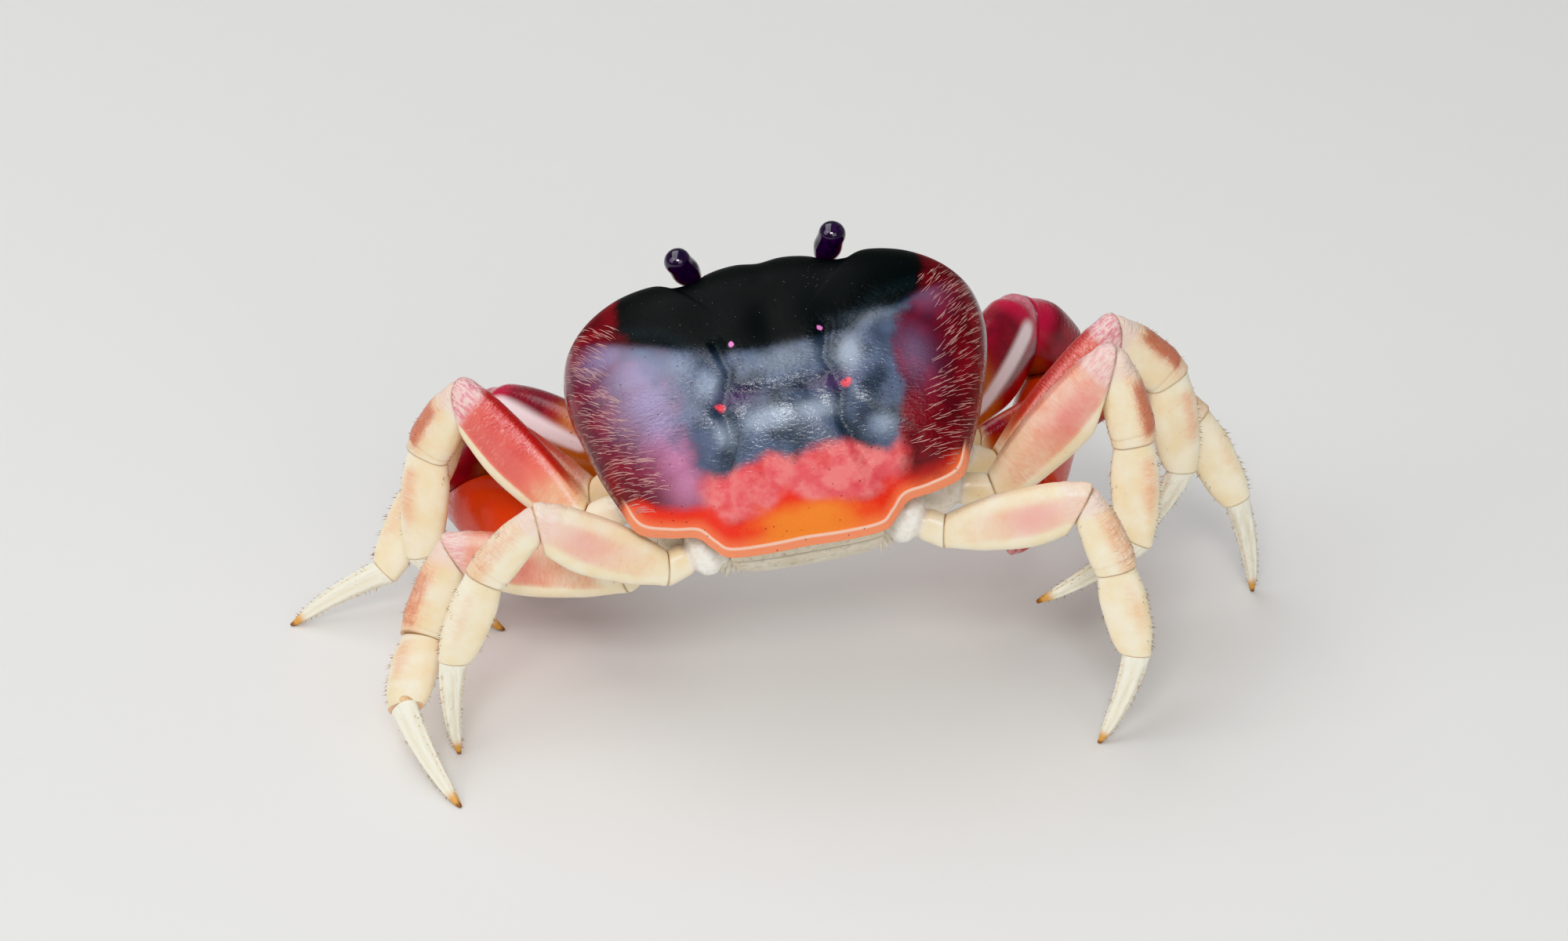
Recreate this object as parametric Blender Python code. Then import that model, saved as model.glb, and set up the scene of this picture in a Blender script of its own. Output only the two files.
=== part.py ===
"""A blackback land crab, Hartnollius lateralis, as a still life-size model, standing in mid stride.

The crab faces +Y with +X to its right and +Z up. The origin is on the floor, under the middle of the
whole model. Sizes are in millimetres up to the point where a mesh is made.
"""

import math

import bmesh
import bpy
from mathutils import Matrix, Vector

MM = 0.001
GAP = 0.3
WELD = 0.002
FLOOR = 0.0

# Where the body stands: the top of the shell above the floor, and its turn, pitch and roll.
BODY_PLACE = (-0.15, -12.7, 48.0)
BODY_YAW = 11.0
BODY_PITCH = 34.0
BODY_ROLL = -10.5

# The shell, in the body's own frame: origin at the top of the dome, +Y forward.
# Each row is a point of the right half of its margin: across, forward, height.
SHELL_MARGIN = (
    (0.0, 17.2, -8.0),
    (3.0, 17.7, -8.0),
    (6.0, 17.0, -7.4),
    (8.8, 15.6, -7.0),
    (11.4, 15.5, -7.0),
    (13.8, 16.5, -7.2),
    (18.2, 15.7, -7.6),
    (22.2, 13.2, -7.8),
    (24.8, 9.5, -7.8),
    (25.6, 5.0, -7.6),
    (25.2, 1.0, -7.5),
    (24.1, -3.0, -7.8),
    (22.8, -7.0, -8.4),
    (21.2, -10.5, -9.3),
    (19.6, -13.4, -10.4),
    (16.0, -14.6, -10.6),
    (12.8, -15.2, -10.6),
    (11.0, -16.9, -11.0),
    (9.3, -18.1, -11.4),
    (4.6, -18.4, -11.5),
    (0.0, -18.3, -11.5),
)
SHELL_CENTRE = (0.0, 1.0)
SHELL_FLOOR = -14.0
# Under the margin the side walls turn in: how far in, and how much of the way down to the floor.
SHELL_WALL = ((0.5, 0.16), (1.5, 0.55), (4.6, 1.0))
SHELL_POINTS = 88
SHELL_RINGS = 15
RING_CROWDING = 1.25

# How the dome falls to its margin: powers to the front and to the rear, and how much of each a
# direction takes: at rest, for facing forward and for facing sideways.
FRONT_SWELL = (4.0, 1.8)
REAR_SWELL = 2.6
SWELL_SHARES = (0.5, 0.9, 0.45)

# Furrows of the shell's right half: width, depth, and points across and forward. They fade to its edge.
FURROW_FADE = 4.0
FURROWS = (
    (1.5, 0.50, ((0.0, -2.9), (3.5, -2.7), (6.0, -1.6))),
    (1.6, 0.50, ((5.4, 4.0), (6.0, -1.6), (6.6, -7.0), (9.5, -12.5))),
    (2.0, 0.40, ((6.0, -1.6), (10.0, 4.5), (15.5, 8.5), (20.0, 9.0))),
    (1.3, 0.35, ((0.0, 15.5), (0.0, 7.0))),
)

SOCKET_CENTRE = (9.0, 16.8, -10.6)
SOCKET_RADII = (3.6, 2.9, 2.0)
EYE_BASE = (7.5, 16.0, -11.0)
EYE_TIP = (9.4, 18.3, -3.2)
# Along an eye and its stalk, and the radius there.
EYE_PROFILE = ((0.0, 1.05), (0.5, 1.05), (0.72, 1.55), (0.88, 1.55), (1.0, 1.16))
ANTENNA_BASE = (4.4, 16.4, -12.2)
ANTENNA_TIP = (6.6, 20.6, -13.6)
ANTENNA_PROFILE = ((0.0, 0.8), (0.4, 0.6), (1.0, 0.3))

THORAX_TOP = SHELL_FLOOR - GAP
THORAX_FLOOR = -22.3
THORAX_REAR = -14.1
THORAX_HEEL = (-12.3, -22.3)
THORAX_HEEL_SLOPE = 52.0
THORAX_FRONT = 15.4
THORAX_FRONT_SLOPE = 40.0
THORAX_BLANK = 60.0

# The folded tail, joint by joint: forward, height, half width, thickness.
ABDOMEN_ROWS = (
    (-15.9, -14.6, 9.2, 1.7),
    (-16.3, -16.4, 9.4, 1.8),
    (-16.2, -18.6, 9.0, 1.8),
    (-15.3, -21.5, 8.4, 1.9),
    (-12.9, -23.5, 7.6, 1.7),
    (-9.0, -23.6, 6.4, 1.6),
    (-4.0, -23.6, 4.8, 1.6),
    (1.0, -23.5, 3.2, 1.5),
    (4.6, -23.4, 1.6, 1.3),
)
# Each plate of the tail: how far along it, and its width and thickness there.
TAIL_PLATE = ((0.06, 0.94, 0.62), (0.3, 1.0, 1.0), (0.88, 1.0, 1.0))

# The mouth plates: how far down each, and how wide it is there.
MAXILLIPED_ROWS = ((0.5, 0.8), (1.6, 0.98), (4.4, 1.0), (4.8, 0.9), (5.2, 1.0), (8.6, 0.86), (9.8, 0.62))
MAXILLIPED_WIDTH = 6.4
MAXILLIPED_THICKNESS = 1.6

# Where each limb leaves the thorax, right side, and the way that its facet looks, in degrees.
HIPS = {
    "cheliped": ((14.4, 9.2, -20.0), 30.0),
    "leg_2": ((16.5, 2.0, -19.6), 8.0),
    "leg_3": ((16.5, -4.0, -19.6), -10.0),
    "leg_4": ((14.5, -9.5, -19.4), -30.0),
    "leg_5": ((11.0, -13.5, -17.4), -50.0),
}

# Segment lengths: coxa with ischium, merus, carpus, propodus, dactyl.
LENGTHS = {
    "leg_2": (10.2, 22.0, 11.0, 13.2, 13.8),
    "leg_3": (10.2, 22.0, 11.0, 13.6, 15.2),
    "leg_4": (9.5, 21.5, 11.3, 13.0, 14.2),
    "leg_5": (6.5, 17.5, 9.6, 11.5, 12.6),
}
SEGMENTS = ("coxa", "merus", "carpus", "propodus", "dactyl")

# How wide each leg is against the third one.
GIRTH = {"leg_2": 0.92, "leg_3": 1.0, "leg_4": 0.95, "leg_5": 0.91}

# The pose: for each segment the way it points, measured outward from the side and positive to the
# front, and its slope. A dactyl with no slope reaches down to the floor.
POSE = {
    "leg_2_right": ((9, -47), (28, 9), (11, -35), (3, -63), (7, None)),
    "leg_3_right": ((10, -29), (31, 41), (23, -45), (18, -80), (-175, -59)),
    "leg_4_right": ((6, -8), (8, 50), (0, -74), (-70, -81), (-174, -33)),
    "leg_5_right": ((-11, -16), (-9, 18), (-16, -64), (-24, -75), (-161, None)),
    "leg_2_left": ((-1, -46), (36, 13), (14, -67), (-33, -59), (-8, None)),
    "leg_3_left": ((-6, -26), (35, 32), (33, -59), (-58, -81), (175, None)),
    "leg_4_left": ((-11, -39), (12, 1), (-47, -60), (-84, -8), (-125, None)),
    "leg_5_left": ((-18, -20), (-10, 27), (-12, -47), (-18, -69), (-112, None)),
}

# The great claws: coxa with ischium, merus, carpus, palm with its finger.
CLAW_LENGTHS = (12.0, 20.5, 11.0, 29.5)
CLAW_SEGMENTS = ("coxa", "merus", "carpus", "palm")
CLAW_POSE = {
    "cheliped_right": ((9, -53), (64, 8), (36, -46), (-105, -27)),
    "cheliped_left": ((21, -56), (42, -8), (-43, -57), (-134, 2)),
}

# The movable finger starts at the knuckle, a share along the palm, and gapes a little at its tip.
KNUCKLE = 0.63
KNUCKLE_GAP = 0.55
FINGER_GAPE = 0.5

# Outlines along a segment: how far along, outer edge, inner edge, half thickness.
LEG_OUTLINES = {
    "coxa": (
        (0.0, 2.9, 2.9, 2.6),
        (0.3, 3.0, 3.0, 2.6),
        (0.52, 2.4, 2.3, 2.1),
        (0.8, 2.6, 2.7, 2.1),
        (1.0, 2.4, 2.5, 1.9),
    ),
    "merus": (
        (0.0, 2.2, 2.4, 1.8),
        (0.25, 3.2, 3.9, 2.1),
        (0.58, 3.7, 4.7, 2.3),
        (0.88, 3.5, 3.6, 2.2),
        (1.0, 3.0, 2.9, 2.0),
    ),
    "carpus": (
        (0.0, 2.5, 2.2, 1.9),
        (0.35, 3.3, 2.4, 2.0),
        (0.75, 3.4, 2.8, 2.0),
        (1.0, 2.9, 2.8, 1.8),
    ),
    "propodus": (
        (0.0, 2.8, 2.8, 1.7),
        (0.35, 3.2, 3.2, 1.8),
        (0.75, 2.9, 2.9, 1.6),
        (1.0, 2.1, 2.1, 1.3),
    ),
    "dactyl": (
        (0.0, 1.9, 1.9, 1.3),
        (0.15, 1.7, 1.7, 1.3),
        (0.5, 1.3, 1.3, 1.0),
        (0.85, 0.75, 0.75, 0.65),
        (1.0, 0.4, 0.4, 0.4),
    ),
}
CLAW_OUTLINES = {
    "coxa": (
        (0.0, 4.0, 4.0, 3.6),
        (0.3, 4.1, 4.1, 3.6),
        (0.5, 3.2, 3.3, 2.8),
        (0.8, 3.9, 4.0, 3.1),
        (1.0, 3.6, 3.7, 2.9),
    ),
    "merus": (
        (0.0, 3.4, 3.6, 3.0),
        (0.3, 4.7, 5.0, 3.6),
        (0.65, 5.4, 5.4, 3.9),
        (0.9, 5.0, 4.8, 3.8),
        (1.0, 4.2, 4.2, 3.4),
    ),
    "carpus": (
        (0.0, 4.0, 3.4, 3.3),
        (0.4, 5.4, 4.0, 3.9),
        (0.8, 5.0, 4.2, 3.8),
        (1.0, 3.8, 3.6, 3.1),
    ),
    "palm": (
        (0.0, 3.4, 3.2, 2.9),
        (0.12, 5.0, 4.8, 3.6),
        (0.3, 6.0, 6.0, 4.1),
        (0.5, 6.2, 6.5, 4.0),
        (KNUCKLE, 5.9, 6.5, 3.6),
        (KNUCKLE + 0.012, -0.6, 6.4, 2.9),
        (0.8, -1.4, 5.3, 2.3),
        (0.92, -1.9, 4.1, 1.6),
        (1.0, -2.0, 3.0, 0.6),
    ),
    "finger": (
        (0.0, 5.7, -0.2, 2.7),
        (0.3, 5.0, -0.4, 2.3),
        (0.65, 3.2, 0.2, 1.8),
        (0.9, 1.0, 1.2, 1.2),
        (1.0, -0.4, 2.0, 0.6),
    ),
}
DACTYL_BOW = 0.5

# The spines of a dactyl: rows round it in degrees from its outer edge, how many are in each, where
# they begin and end along it, and the size of the first. They lean to the tip and grow smaller there.
SPINE_ROWS = (32.0, 148.0, 212.0, 328.0)
SPINES_IN_ROW = 5
SPINE_SPAN = (0.17, 0.84)
SPINE_LENGTH = 1.15
SPINE_WIDTH = 0.8
SPINE_LEAN = 48.0
SPINE_TAPER = 0.35
SPINE_VARIETY = 0.14
SPINE_BEAT = 2.4

# The teeth of a claw: how far along the palm they sit on its fixed finger, and along the movable one.
PALM_TEETH = (0.69, 0.76, 0.83, 0.9)
FINGER_TEETH = (0.27, 0.45, 0.62, 0.8)
TOOTH_HEIGHT = 0.75
TOOTH_WIDTH = 1.5

# A spine or tooth starts this share of its width under the surface, and has so many sides.
ROOT_DEPTH = 0.7
PEG_SIDES = 4

# How far a segment's rounded ends reach past its joints, as a share of its width.
LEG_CAPS = (0.9, 0.9)
TIP_CAPS = (0.9, 1.2)
CLAW_CAPS = (0.8, 0.8)
FINGER_CAPS = (0.5, 0.5)
BLUNT_CAPS = (0.0, 0.9)
CAP_STEPS = (0.6, 0.95)

SIDES = {"right": 1, "left": -1}
AROUND = 10
OVAL_POWER = 2.3
PLATE_POWER = 3.0
SPLINE_STEPS = 12

COLOURS = {
    "shell": ((0.16, 0.02, 0.03), 0.25),
    "under": ((0.72, 0.66, 0.52), 0.5),
    "eye": ((0.02, 0.012, 0.03), 0.12),
    "leg": ((0.82, 0.62, 0.42), 0.4),
    "claw": ((0.55, 0.07, 0.05), 0.35),
    "feeler": ((0.5, 0.25, 0.2), 0.45),
}


def clear_scene():
    for obj in list(bpy.data.objects):
        bpy.data.objects.remove(obj, do_unlink=True)


def body_matrix():
    """The body's frame in the world, still in millimetres."""
    turn = Matrix.Rotation(math.radians(BODY_YAW), 4, "Z")
    pitch = Matrix.Rotation(math.radians(BODY_PITCH), 4, "X")
    roll = Matrix.Rotation(math.radians(BODY_ROLL), 4, "Y")
    return Matrix.Translation(BODY_PLACE) @ turn @ pitch @ roll


BODY = body_matrix()


def material(kind):
    """One plain finish of each kind, made once."""
    made = bpy.data.materials.get(kind)
    if made:
        return made
    colour, roughness = COLOURS[kind]
    made = bpy.data.materials.new(kind)
    made.use_nodes = True
    shader = made.node_tree.nodes["Principled BSDF"]
    shader.inputs["Base Color"].default_value = (*colour, 1.0)
    shader.inputs["Roughness"].default_value = roughness
    shader.inputs["Metallic"].default_value = 0.0
    return made


def add_node(name, bm, kind, smooth_under=35.0):
    """One named object from a mesh in millimetres."""
    bmesh.ops.remove_doubles(bm, verts=bm.verts, dist=WELD)
    bmesh.ops.recalc_face_normals(bm, faces=bm.faces)
    bmesh.ops.scale(bm, vec=(MM, MM, MM), verts=bm.verts)
    mesh = bpy.data.meshes.new(name)
    bm.to_mesh(mesh)
    bm.free()
    mesh.shade_smooth()
    mesh.set_sharp_from_angle(angle=math.radians(smooth_under))
    mesh.materials.append(material(kind))
    obj = bpy.data.objects.new(name, mesh)
    bpy.context.scene.collection.objects.link(obj)
    return obj


def loft(rings):
    """A closed solid through rings of points, all in the same order."""
    bm = bmesh.new()
    rows = [[bm.verts.new(point) for point in ring] for ring in rings]
    count = len(rows[0])
    for near, far in zip(rows, rows[1:]):
        for i in range(count):
            j = (i + 1) % count
            bm.faces.new((near[i], near[j], far[j], far[i]))
    bm.faces.new(list(reversed(rows[0])))
    bm.faces.new(rows[-1])
    bmesh.ops.recalc_face_normals(bm, faces=bm.faces)
    return bm


def cut(bm, point, normal):
    """Takes away what lies on the side that the normal points to, and closes the mesh there."""
    everything = bm.verts[:] + bm.edges[:] + bm.faces[:]
    done = bmesh.ops.bisect_plane(bm, geom=everything, plane_co=point, plane_no=normal, clear_outer=True)
    edges = [item for item in done["geom_cut"] if isinstance(item, bmesh.types.BMEdge)]
    if edges:
        bmesh.ops.edgeloop_fill(bm, edges=edges)


def between(rows, along):
    """The values of a table of rows at a place along it, eased from row to row."""
    for low, high in zip(rows, rows[1:]):
        if along <= high[0]:
            part = max(0.0, (along - low[0]) / (high[0] - low[0]))
            part = part * part * (3.0 - 2.0 * part)
            return [a + (b - a) * part for a, b in zip(low[1:], high[1:])]
    return list(rows[-1][1:])


def oval(centre, out, across, half_out, half_across, power=OVAL_POWER):
    """A ring of points round a centre: a full-bodied oval."""
    ring = []
    for step in range(AROUND):
        angle = 2.0 * math.pi * step / AROUND
        c = math.cos(angle)
        s = math.sin(angle)
        x = math.copysign(abs(c) ** (2.0 / power), c) * half_out
        y = math.copysign(abs(s) ** (2.0 / power), s) * half_across
        ring.append(centre + out * x + across * y)
    return ring


def section(start, end, along, rows, scale, bow, out):
    """The middle of a limb segment's outline at a place along it, and its half sizes out and across."""
    outer, inner, half = between(rows, along)
    arch = bow * 4.0 * along * (1.0 - along)
    middle = start.lerp(end, along) + out * (scale * 0.5 * (outer - inner) + arch)
    return middle, scale * 0.5 * (outer + inner), scale * half


def tube(start, end, out, across, rows, scale=1.0, bow=0.0, caps=LEG_CAPS):
    """One limb segment from start to end, its ends rounded past the joints."""
    way = end - start
    length = way.length
    way.normalize()
    first = between(rows, 0.0)
    last = between(rows, 1.0)
    reach_in = caps[0] * scale * 0.5 * (first[0] + first[1])
    reach_out = caps[1] * scale * 0.5 * (last[0] + last[1])
    stations = [(row[0] * length, row[0], 1.0) for row in rows]
    for share in CAP_STEPS:
        shrink = math.sqrt(1.0 - share * share)
        if reach_in > 0.0:
            stations.insert(0, (-share * reach_in, 0.0, shrink))
        if reach_out > 0.0:
            stations.append((length + share * reach_out, 1.0, shrink))
    rings = []
    for place, along, shrink in stations:
        middle, half_out, half_across = section(start, end, along, rows, scale, bow, out)
        middle += way * (place - along * length)
        rings.append(oval(middle, out, across, shrink * half_out, shrink * half_across))
    return loft(rings)


def pointing(side, turn, slope):
    """A unit vector: turn is outward from the side and positive to the front, slope is above level."""
    turn = math.radians(turn)
    slope = math.radians(slope)
    level = math.cos(slope)
    return Vector((side * level * math.cos(turn), level * math.sin(turn), math.sin(slope)))


def hip(limb, side):
    """Where a limb starts in the world, and the way that its facet looks."""
    (x, y, z), turn = HIPS[limb]
    place = BODY @ Vector((side * x, y, z))
    facet = BODY.to_3x3() @ pointing(side, turn, 0.0)
    return place, facet


def peg(foot, tip, width):
    """A small pointed piece, its root sunk below the surface that the foot is on."""
    way = (tip - foot).normalized()
    right = way.orthogonal().normalized()
    front = way.cross(right)
    root = foot - way * (ROOT_DEPTH * width)
    bm = bmesh.new()
    ring = []
    for step in range(PEG_SIDES):
        angle = 2.0 * math.pi * step / PEG_SIDES
        ring.append(bm.verts.new(root + (right * math.cos(angle) + front * math.sin(angle)) * (0.5 * width)))
    point = bm.verts.new(tip)
    for i in range(PEG_SIDES):
        bm.faces.new((ring[i], ring[(i + 1) % PEG_SIDES], point))
    bm.faces.new(list(reversed(ring)))
    return bm


def loose_object(name, bm):
    """An object for a Boolean, which isn't a node."""
    bmesh.ops.recalc_face_normals(bm, faces=bm.faces)
    mesh = bpy.data.meshes.new(name)
    bm.to_mesh(mesh)
    bm.free()
    return bpy.data.objects.new(name, mesh)


def fuse(bm, pegs):
    """One closed mesh of a body and the small pieces that grow from it."""
    body = loose_object("fused_body", bm)
    bpy.context.scene.collection.objects.link(body)
    group = bpy.data.collections.new("fused_pegs")
    bpy.context.scene.collection.children.link(group)
    for piece in pegs:
        group.objects.link(loose_object("peg", piece))
    modifier = body.modifiers.new("fuse", "BOOLEAN")
    modifier.operation = "UNION"
    modifier.operand_type = "COLLECTION"
    modifier.collection = group
    evaluated = body.evaluated_get(bpy.context.evaluated_depsgraph_get())
    fused = bmesh.new()
    fused.from_mesh(evaluated.to_mesh())
    evaluated.to_mesh_clear()
    for obj in [body, *group.objects]:
        bpy.data.objects.remove(obj, do_unlink=True)
    bpy.data.collections.remove(group)
    return fused


def keep_largest(bm):
    """Deletes all but the largest closed surface of a mesh."""
    bm.faces.ensure_lookup_table()
    unseen = set(bm.faces)
    largest = []
    while unseen:
        front = [unseen.pop()]
        surface = []
        while front:
            face = front.pop()
            surface.append(face)
            for edge in face.edges:
                for other in edge.link_faces:
                    if other in unseen:
                        unseen.remove(other)
                        front.append(other)
        if len(surface) > len(largest):
            largest = surface
    kept = set(largest)
    bmesh.ops.delete(bm, geom=[face for face in bm.faces if face not in kept], context="FACES")


def spines(start, end, out, across, scale):
    """The rows of small spines along a dactyl."""
    way = (end - start).normalized()
    rows = LEG_OUTLINES["dactyl"]
    lean = math.radians(SPINE_LEAN)
    first, last = SPINE_SPAN
    made = []
    for row, degrees in enumerate(SPINE_ROWS):
        angle = math.radians(degrees)
        for number in range(SPINES_IN_ROW):
            part = number / (SPINES_IN_ROW - 1)
            along = first + (last - first) * part
            middle, half_out, half_across = section(start, end, along, rows, scale, DACTYL_BOW, out)
            outward = out * (math.cos(angle) * half_out) + across * (math.sin(angle) * half_across)
            foot = middle + outward
            vary = 1.0 + SPINE_VARIETY * math.sin(SPINE_BEAT * number + row)
            size = scale * vary * (1.0 - SPINE_TAPER * part)
            rise = outward.normalized() * math.cos(lean) + way * math.sin(lean)
            made.append(peg(foot, foot + rise * (SPINE_LENGTH * size), SPINE_WIDTH * size))
    return made


def teeth(start, end, out, rows, places, inward):
    """Blunt teeth along the biting edge of a finger: inward is -1 where that edge is the inner one."""
    made = []
    for along in places:
        middle, half_out, _ = section(start, end, along, rows, 1.0, 0.0, out)
        foot = middle + out * (inward * half_out)
        made.append(peg(foot, foot + out * (inward * TOOTH_HEIGHT), TOOTH_WIDTH))
    return made


def joints_of(start, side, lengths, pose):
    """The joints of a limb from its hip to its tip."""
    points = [start]
    for length, (turn, slope) in zip(lengths, pose):
        if slope is None:
            slope = -math.degrees(math.asin((points[-1].z - FLOOR) / length))
        points.append(points[-1] + pointing(side, turn, slope) * length)
    return points


def limb_axes(points, side):
    """For each segment the outer side and the side across: the limb bends in one upright plane."""
    reach = points[2] - points[0]
    reach.z = 0.0
    across = Vector((reach.y, -reach.x, 0.0)).normalized() * side
    axes = []
    for near, far in zip(points, points[1:]):
        way = (far - near).normalized()
        level = (across - way * across.dot(way)).normalized()
        out = level.cross(way) * side
        axes.append((out, level))
    return axes


def trim(bm, points, index, facet):
    """Cuts a segment off at its two joints, half of the gap short of each."""
    here = (points[index + 1] - points[index]).normalized()
    if index == 0:
        cut(bm, points[0] + facet * GAP, -facet)
    else:
        before = (points[index] - points[index - 1]).normalized()
        plane = (before + here).normalized()
        cut(bm, points[index] + plane * (0.5 * GAP), -plane)
    if index + 2 < len(points):
        after = (points[index + 2] - points[index + 1]).normalized()
        plane = (here + after).normalized()
        cut(bm, points[index + 1] - plane * (0.5 * GAP), plane)


def dactyl(start, end, axes, scale):
    """The last piece of a walking leg, with its spines, cut level where it meets the floor."""
    out, across = axes
    bm = tube(start, end, out, across, LEG_OUTLINES["dactyl"], scale, DACTYL_BOW, TIP_CAPS)
    bm = fuse(bm, spines(start, end, out, across, scale))
    cut(bm, Vector((0.0, 0.0, FLOOR)), Vector((0.0, 0.0, -1.0)))
    keep_largest(bm)
    return bm


def leg(name, side_name):
    """A walking leg of five pieces."""
    side = SIDES[side_name]
    start, facet = hip(name, side)
    points = joints_of(start, side, LENGTHS[name], POSE[f"{name}_{side_name}"])
    axes = limb_axes(points, side)
    scale = GIRTH[name]
    for index, part in enumerate(SEGMENTS):
        near, far = points[index : index + 2]
        if part == "dactyl":
            bm = dactyl(near, far, axes[index], scale)
        else:
            bm = tube(near, far, *axes[index], LEG_OUTLINES[part], scale)
        trim(bm, points, index, facet)
        add_node(f"{name}_{side_name}_{part}", bm, "leg")


def finger(wrist, tip, out, across):
    """The movable finger, on the outer side of the palm's end, with its teeth."""
    way = (tip - wrist).normalized()
    knuckle = wrist + (tip - wrist) * KNUCKLE
    end = tip + out * FINGER_GAPE
    rows = CLAW_OUTLINES["finger"]
    bm = tube(knuckle, end, out, across, rows, caps=FINGER_CAPS)
    cut(bm, knuckle + way * KNUCKLE_GAP, -way)
    return fuse(bm, teeth(knuckle, end, out, rows, FINGER_TEETH, -1.0))


def cheliped(side_name):
    """A great claw: four pieces and the movable finger."""
    side = SIDES[side_name]
    start, facet = hip("cheliped", side)
    points = joints_of(start, side, CLAW_LENGTHS, CLAW_POSE[f"cheliped_{side_name}"])
    axes = limb_axes(points, side)
    for index, part in enumerate(CLAW_SEGMENTS):
        near, far = points[index : index + 2]
        bm = tube(near, far, *axes[index], CLAW_OUTLINES[part], caps=CLAW_CAPS)
        trim(bm, points, index, facet)
        if part == "palm":
            bm = fuse(bm, teeth(near, far, axes[index][0], CLAW_OUTLINES[part], PALM_TEETH, 1.0))
        add_node(f"cheliped_{side_name}_{part}", bm, "claw")
    add_node(f"cheliped_{side_name}_finger", finger(points[3], points[4], *axes[3]), "claw")


def spline_round(points, count):
    """Points spaced evenly round a smooth closed curve through the given ones."""
    fine = []
    total = len(points)
    for i in range(total):
        a = points[i - 1]
        b = points[i]
        c = points[(i + 1) % total]
        d = points[(i + 2) % total]
        for step in range(SPLINE_STEPS):
            t = step / SPLINE_STEPS
            bend = (a * -1.0 + b * 3.0 - c * 3.0 + d) * t + (a * 2.0 - b * 5.0 + c * 4.0 - d)
            fine.append((bend * t + (c - a)) * (0.5 * t) + b)
    lengths = [0.0]
    for near, far in zip(fine, fine[1:] + fine[:1]):
        lengths.append(lengths[-1] + (far - near).length)
    fine.append(fine[0])
    even = []
    place = 0
    for step in range(count):
        goal = lengths[-1] * step / count
        while lengths[place + 1] < goal:
            place += 1
        part = (goal - lengths[place]) / (lengths[place + 1] - lengths[place])
        even.append(fine[place].lerp(fine[place + 1], part))
    return even


def shell_margin():
    """The shell's margin, from the notch in its front round by the right side."""
    right = [Vector(row) for row in SHELL_MARGIN]
    left = [Vector((-p.x, p.y, p.z)) for p in reversed(right[1:-1])]
    return spline_round(right + left, SHELL_POINTS)


def shell_drop(share, way):
    """How far down towards the margin the shell is at a share of the way out: rounder to the front."""
    base, per_forward, per_sideways = SWELL_SHARES
    forward = min(1.0, max(0.0, base + per_forward * way.y + per_sideways * abs(way.x)))
    power, root = FRONT_SWELL
    front = 1.0 - (1.0 - share**power) ** (1.0 / root)
    rear = share**REAR_SWELL
    return rear + (front - rear) * forward


def distance_to(points, place):
    """How far a place is from a line of straight runs."""
    nearest = math.inf
    for a, b in zip(points, points[1:]):
        run = Vector(b) - Vector(a)
        part = (place - Vector(a)).dot(run) / run.length_squared
        foot = Vector(a) + run * min(1.0, max(0.0, part))
        nearest = min(nearest, (place - foot).length)
    return nearest


def furrow_depth(x, y):
    """How deep the shell's furrows are at a place."""
    place = Vector((abs(x), y))
    return max(depth * math.exp(-((distance_to(line, place) / width) ** 2)) for width, depth, line in FURROWS)


def carapace():
    """The domed shell, its brow and side walls turned in underneath, with a socket for each eye."""
    margin = shell_margin()
    middle = Vector((*SHELL_CENTRE, 0.0))
    rings = []
    for number in range(SHELL_RINGS):
        share = 1.0 - (1.0 - (number + 1) / SHELL_RINGS) ** RING_CROWDING
        ring = []
        for edge in margin:
            ray = Vector((edge.x, edge.y, 0.0)) - middle
            point = middle + ray * share
            furrow = furrow_depth(point.x, point.y) * (1.0 - share**FURROW_FADE)
            point.z = edge.z * shell_drop(share, ray.normalized()) - furrow
            ring.append(point)
        rings.append(ring)
    for inset, down in SHELL_WALL:
        ring = []
        for edge in margin:
            ray = (Vector((edge.x, edge.y, 0.0)) - middle).normalized()
            level = edge.z + (SHELL_FLOOR - edge.z) * down
            ring.append(Vector((edge.x, edge.y, level)) - ray * inset)
        rings.append(ring)
    bm = loft(rings)
    crown = Vector((*SHELL_CENTRE, 0.0))
    top = min(bm.faces, key=lambda face: (face.calc_center_median() - crown).length)
    bmesh.ops.poke(bm, faces=[top])
    bmesh.ops.transform(bm, matrix=BODY, verts=bm.verts)
    shell = add_node("carapace", bm, "shell", smooth_under=50.0)
    for side_name, side in SIDES.items():
        hollow(shell, eye_socket(side_name, side))


def eye_socket(side_name, side):
    """A cutter for one orbit."""
    bm = bmesh.new()
    bmesh.ops.create_icosphere(bm, subdivisions=2, radius=1.0)
    bmesh.ops.scale(bm, vec=SOCKET_RADII, verts=bm.verts)
    place = Matrix.Translation((side * SOCKET_CENTRE[0], *SOCKET_CENTRE[1:]))
    bmesh.ops.transform(bm, matrix=BODY @ place, verts=bm.verts)
    return add_node(f"socket_{side_name}", bm, "shell")


def hollow(obj, cutter):
    """Cuts one object out of another and hides the cutter."""
    cutter.hide_render = True
    cutter.display_type = "WIRE"
    modifier = obj.modifiers.new(cutter.name, "BOOLEAN")
    modifier.operation = "DIFFERENCE"
    modifier.object = cutter


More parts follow.
